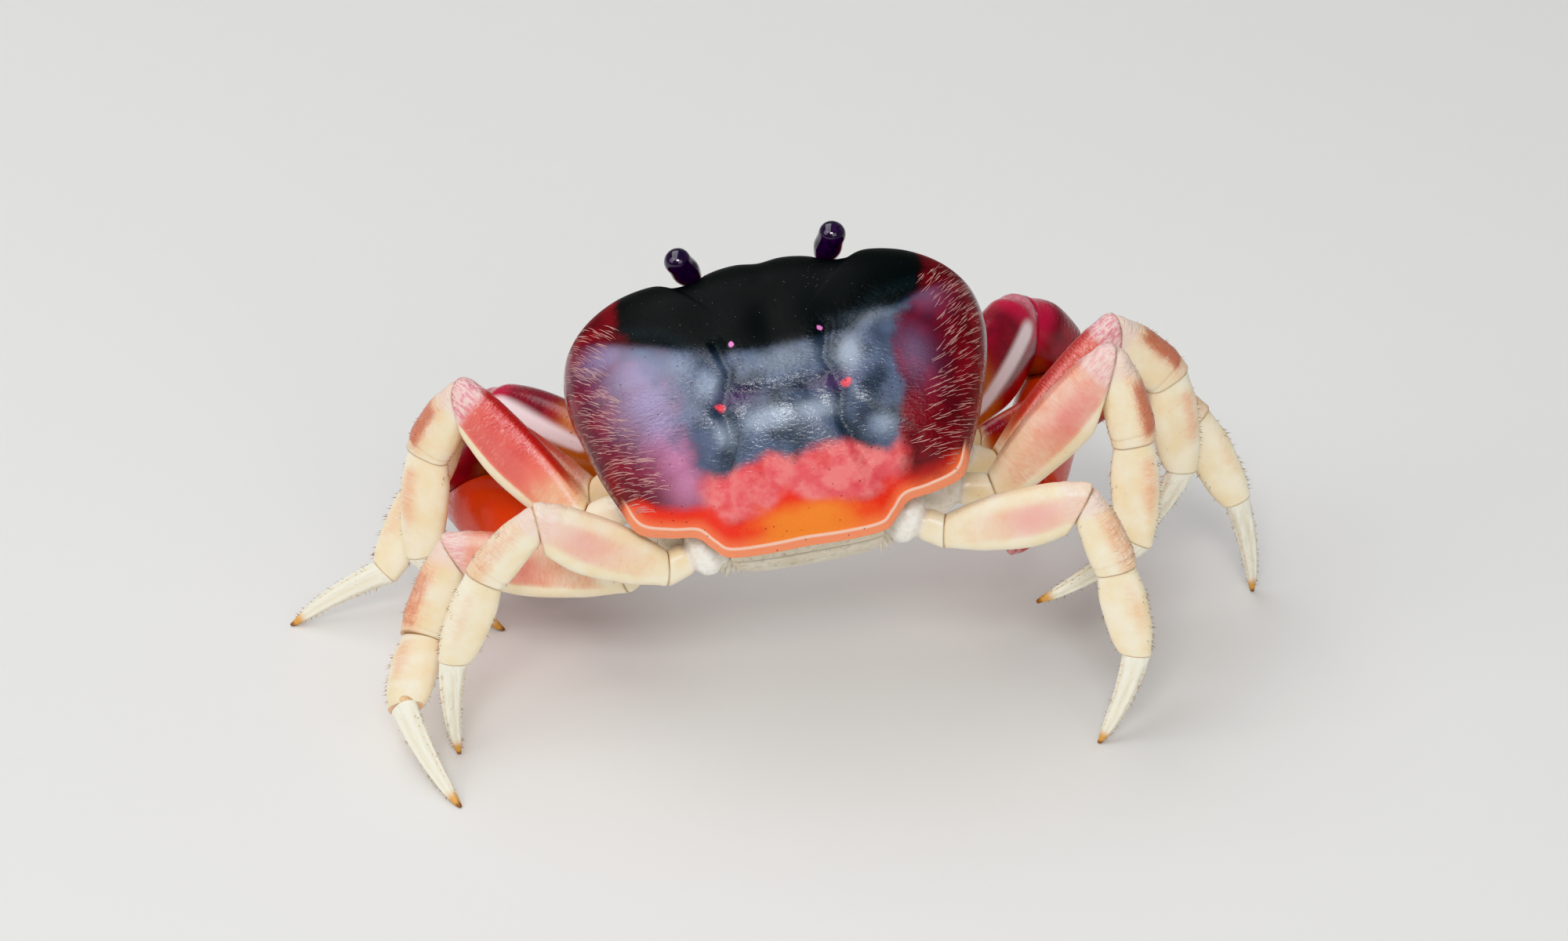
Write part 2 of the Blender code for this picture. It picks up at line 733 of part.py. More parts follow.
def thorax():
    """The body under the shell: a flat facet for each limb, a sloping front and a flat breast."""
    bm = bmesh.new()
    bmesh.ops.create_cube(bm, size=THORAX_BLANK)
    cut(bm, Vector((0.0, 0.0, THORAX_TOP)), Vector((0.0, 0.0, 1.0)))
    cut(bm, Vector((0.0, 0.0, THORAX_FLOOR)), Vector((0.0, 0.0, -1.0)))
    cut(bm, Vector((0.0, THORAX_REAR, 0.0)), Vector((0.0, -1.0, 0.0)))
    heel = math.radians(THORAX_HEEL_SLOPE)
    cut(bm, Vector((0.0, *THORAX_HEEL)), Vector((0.0, -math.cos(heel), -math.sin(heel))))
    slope = math.radians(THORAX_FRONT_SLOPE)
    cut(bm, Vector((0.0, THORAX_FRONT, THORAX_TOP)), Vector((0.0, math.cos(slope), -math.sin(slope))))
    for side in SIDES.values():
        for (x, y, z), turn in HIPS.values():
            cut(bm, Vector((side * x, y, z)), pointing(side, turn, 0.0))
    bmesh.ops.transform(bm, matrix=BODY, verts=bm.verts)
    add_node("thorax", bm, "under")


def tail_ring(near, far, along, width, thickness):
    """One ring of a tail plate, between two joints of the tail."""
    y, z, half, thick = (a + (b - a) * along for a, b in zip(near, far))
    way = Vector((0.0, far[0] - near[0], far[1] - near[1])).normalized()
    outward = Vector((0.0, way.z, -way.y))
    right = Vector((1.0, 0.0, 0.0))
    return oval(Vector((0.0, y, z)), right, outward, half * width, 0.5 * thick * thickness, PLATE_POWER)


def abdomen():
    """The tail of flat plates, folded down behind the body and forward under it."""
    rings = []
    for near, far in zip(ABDOMEN_ROWS, ABDOMEN_ROWS[1:]):
        for along, width, thickness in TAIL_PLATE:
            rings.append(tail_ring(near, far, along, width, thickness))
    bm = loft(rings)
    bmesh.ops.transform(bm, matrix=BODY, verts=bm.verts)
    add_node("abdomen", bm, "under")


def spindle(name, base, tip, profile, kind, side):
    """A small round piece in the body's frame: an eye on its stalk, or a feeler."""
    start = Vector((side * base[0], base[1], base[2]))
    end = Vector((side * tip[0], tip[1], tip[2]))
    way = (end - start).normalized()
    out = way.orthogonal().normalized()
    rows = [(along, radius, radius, radius) for along, radius in profile]
    bm = tube(start, end, out, way.cross(out), rows, caps=BLUNT_CAPS)
    bmesh.ops.transform(bm, matrix=BODY, verts=bm.verts)
    add_node(name, bm, kind)


def maxilliped(side_name, side):
    """One of the two mouth plates, on the sloping front of the thorax."""
    slope = math.radians(THORAX_FRONT_SLOPE)
    outward = Vector((0.0, math.cos(slope), -math.sin(slope)))
    down = Vector((0.0, -math.sin(slope), -math.cos(slope)))
    half = 0.5 * MAXILLIPED_WIDTH
    half_thick = 0.5 * MAXILLIPED_THICKNESS
    top = Vector((side * (half + 0.5 * GAP), THORAX_FRONT, THORAX_TOP)) + outward * (GAP + half_thick)
    right = Vector((1.0, 0.0, 0.0))
    rings = [
        oval(top + down * place, right, outward, half * width, half_thick * width, PLATE_POWER)
        for place, width in MAXILLIPED_ROWS
    ]
    bm = loft(rings)
    bmesh.ops.transform(bm, matrix=BODY, verts=bm.verts)
    add_node(f"maxilliped_{side_name}", bm, "under")


def main():
    clear_scene()
    carapace()
    thorax()
    abdomen()
    for side_name, side in SIDES.items():
        spindle(f"eye_{side_name}", EYE_BASE, EYE_TIP, EYE_PROFILE, "eye", side)
        spindle(f"antenna_{side_name}", ANTENNA_BASE, ANTENNA_TIP, ANTENNA_PROFILE, "feeler", side)
        maxilliped(side_name, side)
        cheliped(side_name)
        for name in LENGTHS:
            leg(name, side_name)


main()
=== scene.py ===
"""The looks of a blackback land crab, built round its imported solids.

Shapes are worked out in millimetres and turned into metres where a mesh is made. The body's own frame
has its origin at the top of the shell, +Y forward and +X to the crab's right. A table of the right half
serves for both. A shape is three things: its points, its faces, and its marks, which are the values that
its paint follows, one for each point.
"""
import math

import bpy
import numpy as np
from mathutils import Matrix, Vector


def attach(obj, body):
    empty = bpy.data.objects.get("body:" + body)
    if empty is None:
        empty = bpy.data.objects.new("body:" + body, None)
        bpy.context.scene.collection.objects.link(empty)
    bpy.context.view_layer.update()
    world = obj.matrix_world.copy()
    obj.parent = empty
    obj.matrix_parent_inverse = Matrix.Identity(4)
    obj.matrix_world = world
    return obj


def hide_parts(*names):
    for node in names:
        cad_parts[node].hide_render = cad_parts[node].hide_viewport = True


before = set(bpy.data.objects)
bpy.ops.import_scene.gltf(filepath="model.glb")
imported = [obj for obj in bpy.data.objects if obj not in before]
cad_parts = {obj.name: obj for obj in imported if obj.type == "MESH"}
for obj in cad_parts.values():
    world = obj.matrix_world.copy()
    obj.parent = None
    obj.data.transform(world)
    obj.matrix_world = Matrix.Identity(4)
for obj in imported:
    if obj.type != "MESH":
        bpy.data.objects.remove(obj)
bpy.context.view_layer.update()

MM = 0.001
rng = np.random.default_rng(11)
SIDES = {"right": 1, "left": -1}

# The body's place, turn, pitch and roll, as in the solids.
BODY_PLACE = (-0.15, -12.7, 48.0)
BODY_YAW = 11.0
BODY_PITCH = 34.0
BODY_ROLL = -10.5

# The right half of the shell's margin: across, forward, height.
SHELL_MARGIN = (
    (0.0, 17.2, -8.0),
    (3.0, 17.7, -8.0),
    (6.0, 17.0, -7.4),
    (8.8, 15.6, -7.0),
    (11.4, 15.5, -7.0),
    (13.8, 16.5, -7.2),
    (18.2, 15.7, -7.6),
    (22.2, 13.2, -7.8),
    (24.8, 9.5, -7.8),
    (25.6, 5.0, -7.6),
    (25.2, 1.0, -7.5),
    (24.1, -3.0, -7.8),
    (22.8, -7.0, -8.4),
    (21.2, -10.5, -9.3),
    (19.6, -13.4, -10.4),
    (16.0, -14.6, -10.6),
    (12.8, -15.2, -10.6),
    (11.0, -16.9, -11.0),
    (9.3, -18.1, -11.4),
    (4.6, -18.4, -11.5),
    (0.0, -18.3, -11.5),
)
SHELL_CENTRE = (0.0, 1.0)
SHELL_FLOOR = -14.0
SHELL_COLUMNS = 420
SHELL_ROWS = 150
SHELL_CROWDING = 1.25
MARGIN_STEPS = 12
# The raised line and the furrow beside it along the hind edge: height, and how far each is from the edge.
HIND_LIP = 0.12
HIND_LINE = 0.6
HIND_FURROW = 1.1
# How the dome falls to its margin: powers in front and behind, and where it is the front's way.
FRONT_SWELL = (4.0, 1.8)
REAR_SWELL = 2.6
SWELL_SHARES = (0.5, 0.9, 0.45)
BROW_SMOOTHING = 7.0

# Furrows of the shell's right half: width, depth, and points across and forward.
FURROWS = (
    (0.8, 0.55, ((0.0, -2.6), (2.5, -2.5), (4.8, -2.2), (6.4, -1.2))),
    (0.9, 0.60, ((6.6, 4.2), (6.2, 2.2), (5.7, 0.4), (6.4, -1.6), (7.2, -4.2), (6.6, -7.2), (8.6, -11.6))),
    (1.5, 0.35, ((5.8, 0.0), (9.0, 3.6), (13.0, 7.4), (19.0, 9.4))),
    (0.9, 0.12, ((0.0, 16.5), (0.0, 12.5))),
    (1.6, 0.25, ((6.6, -7.0), (9.6, -8.4), (12.5, -8.6))),
)
# Swellings of the right half: across, forward, reach, height.
SWELLINGS = (
    (3.4, 6.0, 3.0, 0.45),
    (0.0, -5.2, 3.0, 0.55),
    (12.0, 1.0, 4.5, 0.45),
    (9.8, -5.0, 2.6, 0.45),
    (12.0, 12.0, 4.0, 0.25),
)

# Fine oblique ridges near the shell's sides, from the hind end to the front one. The slopes are those of
# the hindmost and the foremost ridge, and the band is measured in from the margin.
STRIA_COUNT = 680
STRIA_POINTS = 7
STRIA_BAND = 5.2
STRIA_SLOPES = (13.0, 50.0)
STRIA_SLOPE_SPREAD = 5.0
STRIA_LENGTH = 2.3
STRIA_WIDTHS = (0.05, 0.1)
STRIA_ENDS = (-13.6, 12.5)
STRIA_MARGIN = 0.35
STRIA_INNERMOST = 15.0
RIDGE_SIDES = 6

# Under the margin the walls turn in: how far in, and how much of the way down to the shell's floor.
SHELL_WALL = ((0.0, 0.0), (-0.1, 0.06), (0.3, 0.13), (0.55, 0.2), (1.2, 0.5), (2.6, 0.8), (4.6, 1.0))
BROW_WALL = ((0.0, 0.0), (-0.35, 0.3), (0.2, 0.42), (2.2, 0.55), (4.6, 1.0))
WALL_ROWS = 46
WALL_CROWDING = 1.3
BROW_HALF_WIDTH = (6.0, 7.4)
SOCKET_CENTRE = (9.0, 16.8, -10.6)
SOCKET_RADII = (3.6, 2.9, 2.0)
SOCKET_WAY = (-0.25, -0.97, 0.0)

# The near-black patch of the shell and the coral one behind it: outlines across and forward.
SLATE_OUTLINE = (
    (0.0, 24.0), (18.4, 19.0), (19.6, 13.5), (19.7, 10.5), (18.8, 8.0), (16.2, 5.2), (14.6, 2.0),
    (14.0, -1.5), (14.2, -4.6), (13.9, -7.8), (13.0, -9.9), (11.2, -10.9), (8.6, -10.6), (6.6, -9.6),
    (4.4, -9.7), (2.4, -9.8), (0.2, -11.0), (-1.2, -10.2), (-3.0, -9.5), (-5.6, -10.2), (-7.6, -11.0),
    (-9.6, -11.0), (-11.4, -10.2), (-12.4, -7.6), (-12.4, -4.0), (-12.2, -1.0), (-13.6, 2.6),
    (-16.6, 6.6), (-17.8, 9.6), (-17.8, 12.6), (-17.4, 19.0),
)
CORAL_OUTLINE = (
    (-9.6, -8.6), (0.0, -7.5), (10.6, -8.6), (12.8, -9.6), (13.4, -11.4), (12.8, -13.4), (10.6, -15.8),
    (0.0, -17.0), (-9.8, -15.8), (-11.2, -13.8), (-11.4, -12.0), (-11.2, -10.4),
)
PINK_DOTS = ((-4.8, 3.9), (5.9, 4.2))
RED_DOTS = ((-7.4, -3.7), (7.9, -3.4))
# The near-black front ends in a line that bends forward to the sides.
HORIZON_BOW = 0.0125
# Soft spots of mauve, violet and painted sheen: across, forward, reach across and along, strength.
# The mauve spots are partly the shell's own mauve and partly a painted reflection of the sky, strong on the
# left side and weak on the right.
MAUVE_AND_SHEEN_SPOTS = (
    (-20.0, 6.0, 3.4, 2.4, 0.8),
    (-15.5, 2.6, 5.4, 4.2, 1.0),
    (-15.2, -1.0, 4.8, 4.6, 1.0),
    (-14.4, -4.4, 3.8, 4.4, 1.0),
    (-13.2, -8.0, 3.2, 4.2, 1.0),
    (-12.6, -10.6, 3.0, 3.0, 1.0),
    (19.0, 7.2, 2.6, 3.0, 0.35),
    (16.4, -0.8, 2.6, 3.8, 0.4),
)
VIOLET_SPOTS = ((-5.0, -2.8, 2.4, 1.2, 0.8), (6.4, -2.9, 2.6, 1.1, 0.8))
# Painted highlights: broad pale spots on the slate that stand for glossy reflections of the sky.
SLATE_SHEEN_SPOTS = (
    (-8.4, -0.6, 2.0, 2.6, 0.8),
    (-11.0, 2.0, 3.0, 2.6, 0.6),
    (-7.3, -6.8, 1.5, 1.6, 1.0),
    (-1.6, -6.2, 3.6, 1.5, 1.0),
    (3.6, -5.9, 3.2, 1.4, 0.9),
    (11.4, -8.4, 1.9, 1.4, 0.7),
    (8.8, 0.2, 1.9, 2.8, 0.9),
    (1.2, 0.8, 5.4, 2.2, 0.55),
    (12.5, 4.6, 5.0, 1.6, 0.45),
)

# The body under the shell: where its flat sides are, and how sharply they meet.
THORAX_CENTRE = (0.0, 0.0, -18.3)
THORAX_TOP = -14.3
THORAX_FLOOR = -22.3
THORAX_REAR = -14.1
THORAX_HEEL = (-12.3, -22.3)
THORAX_HEEL_SLOPE = 52.0
THORAX_FRONT = 15.4
THORAX_FRONT_SLOPE = 40.0
THORAX_SHARPNESS = 22
BREAST_ROWS = 170
BREAST_COLUMNS = 260
BREAST_FLATNESS = 0.45
# Lines between the plates of the breast: across and forward.
SEAMS = (
    ((0.0, -12.0), (0.0, 12.0)),
    ((0.0, 9.0), (13.0, 7.6)),
    ((0.0, 5.6), (16.0, 5.6)),
    ((0.0, -0.6), (17.0, -1.0)),
    ((0.0, -5.6), (16.5, -7.4)),
    ((0.0, -9.6), (12.0, -12.0)),
    ((0.0, 9.0), (5.0, 13.0)),
)

# The folded tail, joint by joint: forward, height, half width, thickness.
TAIL_ROWS = (
    (-15.9, -14.6, 9.2, 1.7),
    (-16.3, -16.4, 9.4, 1.8),
    (-16.2, -18.6, 9.0, 1.8),
    (-15.3, -21.5, 8.4, 1.9),
    (-12.9, -23.5, 7.6, 1.7),
    (-9.0, -23.6, 6.4, 1.6),
    (-4.0, -23.6, 4.8, 1.6),
    (1.0, -23.5, 3.2, 1.5),
    (4.6, -23.4, 1.6, 1.3),
)
# Points round the tail, and rings in each of its plates.
TAIL_COLUMNS = 120
PLATE_STEPS = 22
# Hairs at each end of the tail's hind edge.
TUFT_HAIRS = 5
TUFT_FOOT = (9.4, -14.4, -20.2)
TUFT_LENGTH = 2.9
TUFT_WIDTH = 0.75

# A mouth plate: how far it is from the middle, and its width from top to tip.
MOUTH_ASIDE = 3.35
MOUTH_ROWS = ((0.5, 0.8), (1.6, 0.98), (4.4, 1.0), (4.8, 0.88), (5.2, 1.0), (8.6, 0.86), (9.8, 0.62))
MOUTH_RINGS = 90
MOUTH_COLUMNS = 80
MOUTH_HALF_WIDTH = 3.2

# Eyes and feelers: foot, tip, and the radius along them.
EYE_BASE = (6.7, 16.1, -10.8)
EYE_TIP = (9.5, 18.2, -3.7)
EYE_PROFILE = ((0.0, 1.2), (0.3, 1.0), (0.45, 1.1), (0.58, 1.5), (0.74, 1.76), (0.92, 1.66), (1.0, 1.66))
FEELER_BASE = (4.4, 16.4, -12.2)
FEELER_TIP = (6.6, 20.6, -13.6)
FEELER_PROFILE = ((0.0, 0.85), (0.2, 0.8), (0.24, 0.66), (0.4, 0.62), (0.44, 0.45), (0.7, 0.36), (1.0, 0.2))
SPINDLE_RINGS = 70
SPINDLE_TIP_RINGS = 8
SPINDLE_COLUMNS = 48

# Where each limb leaves the body, and the way that its facet looks.
HIPS = {
    "cheliped": ((14.4, 9.2, -20.0), 30.0),
    "leg_2": ((16.5, 2.0, -19.6), 8.0),
    "leg_3": ((16.5, -4.0, -19.6), -10.0),
    "leg_4": ((14.5, -9.5, -19.4), -30.0),
    "leg_5": ((11.0, -13.5, -17.4), -50.0),
}
# The lengths of each limb's segments from its hip out, and how thick each leg is.
LENGTHS = {
    "leg_2": (10.2, 22.0, 11.0, 13.2, 13.8),
    "leg_3": (10.2, 22.0, 11.0, 13.6, 15.2),
    "leg_4": (9.5, 21.5, 11.3, 13.0, 14.2),
    "leg_5": (6.5, 17.5, 9.6, 11.5, 12.6),
    "cheliped": (12.0, 20.5, 11.0, 29.5),
}
GIRTH = {"leg_2": 0.92, "leg_3": 1.0, "leg_4": 0.95, "leg_5": 0.91}
# Each segment's turn from the side to the front and slope. None is for a tip that reaches the floor.
POSE = {
    "leg_2_right": ((9, -47), (28, 9), (11, -35), (3, -63), (7, None)),
    "leg_3_right": ((10, -29), (31, 41), (23, -45), (18, -80), (-175, -59)),
    "leg_4_right": ((6, -8), (8, 50), (0, -74), (-70, -81), (-174, -33)),
    "leg_5_right": ((-11, -16), (-9, 18), (-16, -64), (-24, -75), (-161, None)),
    "leg_2_left": ((-1, -46), (36, 13), (14, -67), (-33, -59), (-8, None)),
    "leg_3_left": ((-6, -26), (35, 32), (33, -59), (-58, -81), (175, None)),
    "leg_4_left": ((-11, -39), (12, 1), (-47, -60), (-84, -8), (-125, None)),
    "leg_5_left": ((-18, -20), (-10, 27), (-12, -47), (-18, -69), (-112, None)),
    "cheliped_right": ((9, -53), (64, 8), (36, -46), (-105, -27)),
    "cheliped_left": ((21, -56), (42, -8), (-43, -57), (-134, 2)),
}
SEGMENTS = ("coxa", "merus", "carpus", "propodus", "dactyl")
CLAW_SEGMENTS = ("coxa", "merus", "carpus", "palm")
KNUCKLE = 0.63
FINGER_GAPE = 0.5

# Outlines along a segment: how far along, outer edge, inner edge, half thickness.
OUTLINES = {
    "coxa": (
        (0.0, 2.8, 2.8, 2.5),
        (0.22, 3.5, 3.5, 3.1),
        (0.4, 3.1, 3.1, 2.7),
        (0.54, 1.9, 1.9, 1.8),
        (0.64, 2.2, 2.2, 1.8),
        (1.0, 2.3, 2.4, 1.8),
    ),
    "merus": (
        (0.0, 2.2, 2.4, 1.8),
        (0.25, 3.2, 3.9, 2.1),
        (0.58, 3.7, 4.7, 2.3),
        (0.88, 3.5, 3.6, 2.2),
        (1.0, 3.0, 2.9, 2.0),
    ),
    "carpus": ((0.0, 2.5, 2.2, 1.9), (0.35, 3.3, 2.4, 2.0), (0.75, 3.4, 2.8, 2.0), (1.0, 2.9, 2.8, 1.8)),
    "propodus": ((0.0, 2.6, 2.6, 1.6), (0.35, 3.2, 3.2, 1.8), (0.75, 2.9, 2.9, 1.6), (1.0, 2.1, 2.1, 1.3)),
    "dactyl": (
        (0.0, 1.9, 1.9, 1.3),
        (0.15, 1.7, 1.7, 1.3),
        (0.5, 1.3, 1.3, 1.0),
        (0.85, 0.75, 0.75, 0.6),
        (1.0, 0.3, 0.3, 0.3),
    ),
}
CLAW_OUTLINES = {
    "coxa": (
        (0.0, 4.0, 4.0, 3.6),
        (0.3, 4.1, 4.1, 3.6),
        (0.5, 3.2, 3.3, 2.8),
        (0.8, 3.9, 4.0, 3.1),
        (1.0, 3.6, 3.7, 2.9),
    ),
    "merus": (
        (0.0, 3.4, 3.6, 3.0),
        (0.3, 4.7, 5.6, 3.6),
        (0.65, 5.4, 7.2, 3.9),
        (0.9, 5.0, 6.2, 3.8),
        (1.0, 4.2, 5.0, 3.4),
    ),
    "carpus": ((0.0, 4.0, 3.4, 3.3), (0.4, 5.4, 4.0, 3.9), (0.8, 5.0, 4.2, 3.8), (1.0, 3.8, 3.6, 3.1)),
    "palm": (
        (0.0, 3.4, 3.2, 2.9),
        (0.12, 5.0, 4.8, 3.6),
        (0.3, 6.0, 6.0, 4.1),
        (0.5, 6.2, 6.5, 4.0),
        (KNUCKLE, 5.9, 6.5, 3.6),
        (KNUCKLE + 0.02, -0.6, 6.4, 2.9),
        (0.8, -1.4, 5.3, 2.3),
        (0.92, -1.9, 4.1, 1.6),
        (1.0, -2.0, 3.0, 0.6),
    ),
    "finger": (
        (0.0, 5.7, -0.2, 2.7),
        (0.3, 5.0, -0.4, 2.3),
        (0.65, 3.2, 0.2, 1.8),
        (0.9, 1.0, 1.2, 1.2),
        (1.0, -0.4, 2.0, 0.6),
    ),
}
# How far the last segment bows out, and how wide the sunk lines at the joints are.
DACTYL_BOW = 0.5
JOINT_LINE = 0.15
# Cuts at the joints: how far each skin stays back from the plane there, and how soft its edge is.
JOINT_GAP = 0.03
JOINT_SOFTNESS = 0.12
HIP_GAP = 0.3
FINGER_ROOT = 0.4
# How far a segment's rounded ends reach, as a share of its half width there.
LIMB_CAPS = (0.9, 0.9)
TIP_CAPS = (0.9, 1.2)
CLAW_CAPS = (0.8, 0.8)
FINGER_CAPS = (0.5, 0.5)
# Points round a segment, rings along it, and rings in each of its rounded ends.
AROUND = 56
RINGS = 84
PALM_RINGS = RINGS + 40
CAP_RINGS = 9
# A segment's section is between an oval and a rectangle, and so are the tail's and the mouth plates'.
LIMB_ROUNDING = 2.0 / 2.2
PLATE_ROUNDING = 2.0 / 3.0
CUFF_ROWS = 14
CUFF_COLUMNS = 28
CUFF_LENGTH = 0.9
CUFF_GIRTH = 0.93
# Each segment's pattern starts at a place of its own, this far off at most.
PATTERN_SHIFT = 40.0

# The marks that the paints of the legs and the claws follow.
LEG_MARKS = (
    "peach", "coral", "mauve", "crimson", "rust", "pearl", "flush", "granule", "bone", "rough", "crease",
)
CLAW_MARKS = ("ember", "tan", "rose", "stripe", "pearl", "bone", "rough")
# How strong each leg's colours are: coral and mauve faces, pale outer edge, rusty stripe, crimson thigh.
TINTS = {
    "leg_2_right": (0.6, 0.0, 0.0, 0.1, 1.0),
    "leg_3_right": (0.85, 0.4, 0.0, 1.0, 0.0),
    "leg_4_right": (0.38, 0.7, 0.15, 0.95, 0.0),
    "leg_5_right": (0.12, 0.75, 0.9, 0.4, 0.0),
    "leg_2_left": (0.6, 0.0, 0.0, 0.5, 0.6),
    "leg_3_left": (1.15, 0.15, 0.0, 1.0, 0.0),
    "leg_4_left": (0.42, 0.55, 0.2, 0.75, 0.0),
    "leg_5_left": (0.16, 0.65, 0.75, 0.35, 0.0),
}
# The pale stripe on each great claw's thigh: how far round it starts, and how much further it ends.
STRIPES = {"right": (0.0, 0.55), "left": (0.38, 0.42)}

# Rows of spines round a walking leg's last segment, in degrees.
SPINE_ROWS = (32.0, 148.0, 212.0, 328.0)
SPINES_IN_ROW = 10
SPINE_LENGTH = 0.62
# How deep spines and hairs are rooted in the skin.
ROOT_DEPTH = 0.08
# Short stiff hairs along a segment's outer edge and inner edge: half of how many, and how long.
BRISTLES = {"merus": (5, 0.5), "carpus": (12, 0.55), "propodus": (26, 0.75), "dactyl": (22, 0.6)}
BRISTLES_OUTSIDE = 0.7
BRISTLE_WIDTH = 0.09
# Where the teeth of the great claws are along the palm and the finger.
PALM_TEETH = (0.66, 0.7, 0.74, 0.785, 0.83, 0.87, 0.91, 0.95)
FINGER_TEETH = (0.12, 0.24, 0.35, 0.46, 0.57, 0.67, 0.77, 0.87)
TOOTH_HEIGHT = 0.7

# Lamps: name, place, size, power. These, the point that they face, and the floor are in metres.
LIGHTS = (
    ("overhead", (-0.45, 0.05, 1.05), (2.0, 0.75), 8.5),
    ("left", (-1.0, -0.5, 0.7), (0.8, 0.8), 3.0),
    ("behind", (0.5, -1.2, 0.7), (0.9, 0.7), 3.0),
    ("glint", (-0.05, -1.0, 0.97), (0.5, 0.3), 6.5),
)
LIGHT_TARGET = (0.0, 0.0, 0.02)
SKY_COLOUR = (0.86, 0.93, 1.0, 1.0)
SKY_STRENGTH = 0.32
# The floor and the wall that it sweeps up to.
FLOOR_COLOUR = (0.78, 0.77, 0.75, 1.0)
FLOOR_RINGS = (0.5, 1.0, 1.5)
SWEEP_STEPS = 17
FLOOR_RADIUS = 1.9
SWEEP_RADIUS = 0.6
WALL_TOP = 2.2
FLOOR_DROP = 0.0002
FLOOR_COLUMNS = 96

# The camera faces this point, in millimetres, from behind and above.
CAMERA_TARGET = Vector((0.78, -18.83, 37.37))
CAMERA_DISTANCE = 600.0
CAMERA_ELEVATION = 30.0
CAMERA_LENS = 116.2
CAMERA_SENSOR = 36.0


def body_matrix():
    """From the body's own frame to the world."""
    turn = Matrix.Rotation(math.radians(BODY_YAW), 4, "Z")
    pitch = Matrix.Rotation(math.radians(BODY_PITCH), 4, "X")
    roll = Matrix.Rotation(math.radians(BODY_ROLL), 4, "Y")
    return Matrix.Translation(BODY_PLACE) @ turn @ pitch @ roll


BODY = body_matrix()
BODY_TURN = np.array(BODY.to_3x3())
BODY_SHIFT = np.array(BODY.translation)


def ease(low, high, value):
    """0 below low, 1 above high, and smooth between."""
    part = np.clip((value - low) / (high - low), 0.0, 1.0)
    return part * part * (3.0 - 2.0 * part)


def hump(value, width):
    """1 at zero, falling away over a width on both sides."""
    return np.exp(-((value / width) ** 2))


def unit(vectors):
    """Vectors of the same ways, of length 1."""
    return vectors / np.maximum(np.linalg.norm(vectors, axis=-1, keepdims=True), 1e-9)


def angles(count):
    """Evenly spaced angles round a circle."""
    return 2.0 * np.pi * np.arange(count) / count


def rounded(angle, power):
    """Cosines and sines, raised to a power so that a circle turns into a rounded square."""
    c = np.cos(angle)
    s = np.sin(angle)
    return np.sign(c) * np.abs(c) ** power, np.sign(s) * np.abs(s) ** power


def globe(rows, columns):
    """Points of a ball of radius 1, in rings from its top down."""
    theta = np.pi * (np.arange(rows) + 0.5)[:, None] / rows
    phi = angles(columns)[None]
    return np.stack([np.sin(theta) * np.cos(phi), np.sin(theta) * np.sin(phi), np.cos(theta) + 0.0 * phi], -1)


def smooth_rows(rows, at):
    """The values of a table at places along it, on a smooth curve with no overshoot."""
    table = np.array(rows, float)
    x = table[:, 0]
    y = table[:, 1:]
    width = np.diff(x)[:, None]
    slope = np.diff(y, axis=0) / width
    tangent = np.zeros_like(y)
    tangent[0] = slope[0]
    tangent[-1] = slope[-1]
    before = slope[:-1]
    after = slope[1:]
    total = before + after
    same = before * after > 0.0
    tangent[1:-1] = np.where(same, 2.0 * before * after / np.where(same, total, 1.0), 0.0)
    at = np.clip(at, x[0], x[-1])
    k = np.clip(np.searchsorted(x, at, side="right") - 1, 0, len(x) - 2)
    t = ((at - x[k]) / width[k, 0])[:, None]
    w = width[k]
    return (
        y[k] * (2 * t**3 - 3 * t**2 + 1)
        + tangent[k] * w * (t**3 - 2 * t**2 + t)
        + y[k + 1] * (3 * t**2 - 2 * t**3)
        + tangent[k + 1] * w * (t**3 - t**2)
    )


def add_object(name, data):
    """A new object in the scene."""
    made = bpy.data.objects.new(name, data)
    bpy.context.scene.collection.objects.link(made)
    return made


def smooth_object(name, points, faces, material):
    """A new object with a smooth mesh, its points in metres."""
    mesh = bpy.data.meshes.new(name)
    mesh.from_pydata(points.tolist(), [], faces)
    mesh.shade_smooth()
    mesh.materials.append(material)
    return add_object(name, mesh)


def make_piece(name, shape, material, nodes=()):
    """A piece in the world from a shape, standing for the nodes it replaces."""
    points, faces, marks = shape
    piece = smooth_object(name, np.asarray(points) * MM, faces, material)
    for mark, values in marks.items():
        values = np.asarray(values, np.float32)
        kind, field = ("FLOAT", "value") if values.ndim == 1 else ("FLOAT_VECTOR", "vector")
        layer = piece.data.attributes.new(mark, kind, "POINT")
        layer.data.foreach_set(field, values.ravel())
    piece.data.update()
    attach(piece, "root")
    if nodes:
        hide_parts(*nodes)


def body_piece(name, shape, material, nodes):
    """A piece from a shape in the body's frame."""
    points, faces, marks = shape
    make_piece(name, (points @ BODY_TURN.T + BODY_SHIFT, faces, marks), material, nodes)


def grid_faces(rows, columns):
    """Quads between rings that close on themselves."""
    i = np.arange(rows - 1)[:, None] * columns
    j = np.arange(columns)[None, :]
    k = (j + 1) % columns
    quads = np.stack([i + j, i + k, i + columns + k, i + columns + j], -1)
    return quads.reshape(-1, 4).tolist()


def fan_faces(ring, centre, columns, outward):
    """Triangles from a ring to a point, facing out."""
    faces = []
    for j in range(columns):
        a = ring + j
        b = ring + (j + 1) % columns
        faces.append((a, b, centre) if outward else (b, a, centre))
    return faces


def repeated(faces, points_each, count):
    """The faces of one small mesh, for a row of meshes with the same number of points each."""
    return [tuple(corner + points_each * k for corner in face) for k in range(count) for face in faces]


def tube_faces(rows, columns):
    """Faces of rings whose points are followed by a point that closes each end."""
    total = rows * columns
    faces = grid_faces(rows, columns)
    faces += fan_faces(0, total, columns, False)
    faces += fan_faces(total - columns, total + 1, columns, True)
    return faces


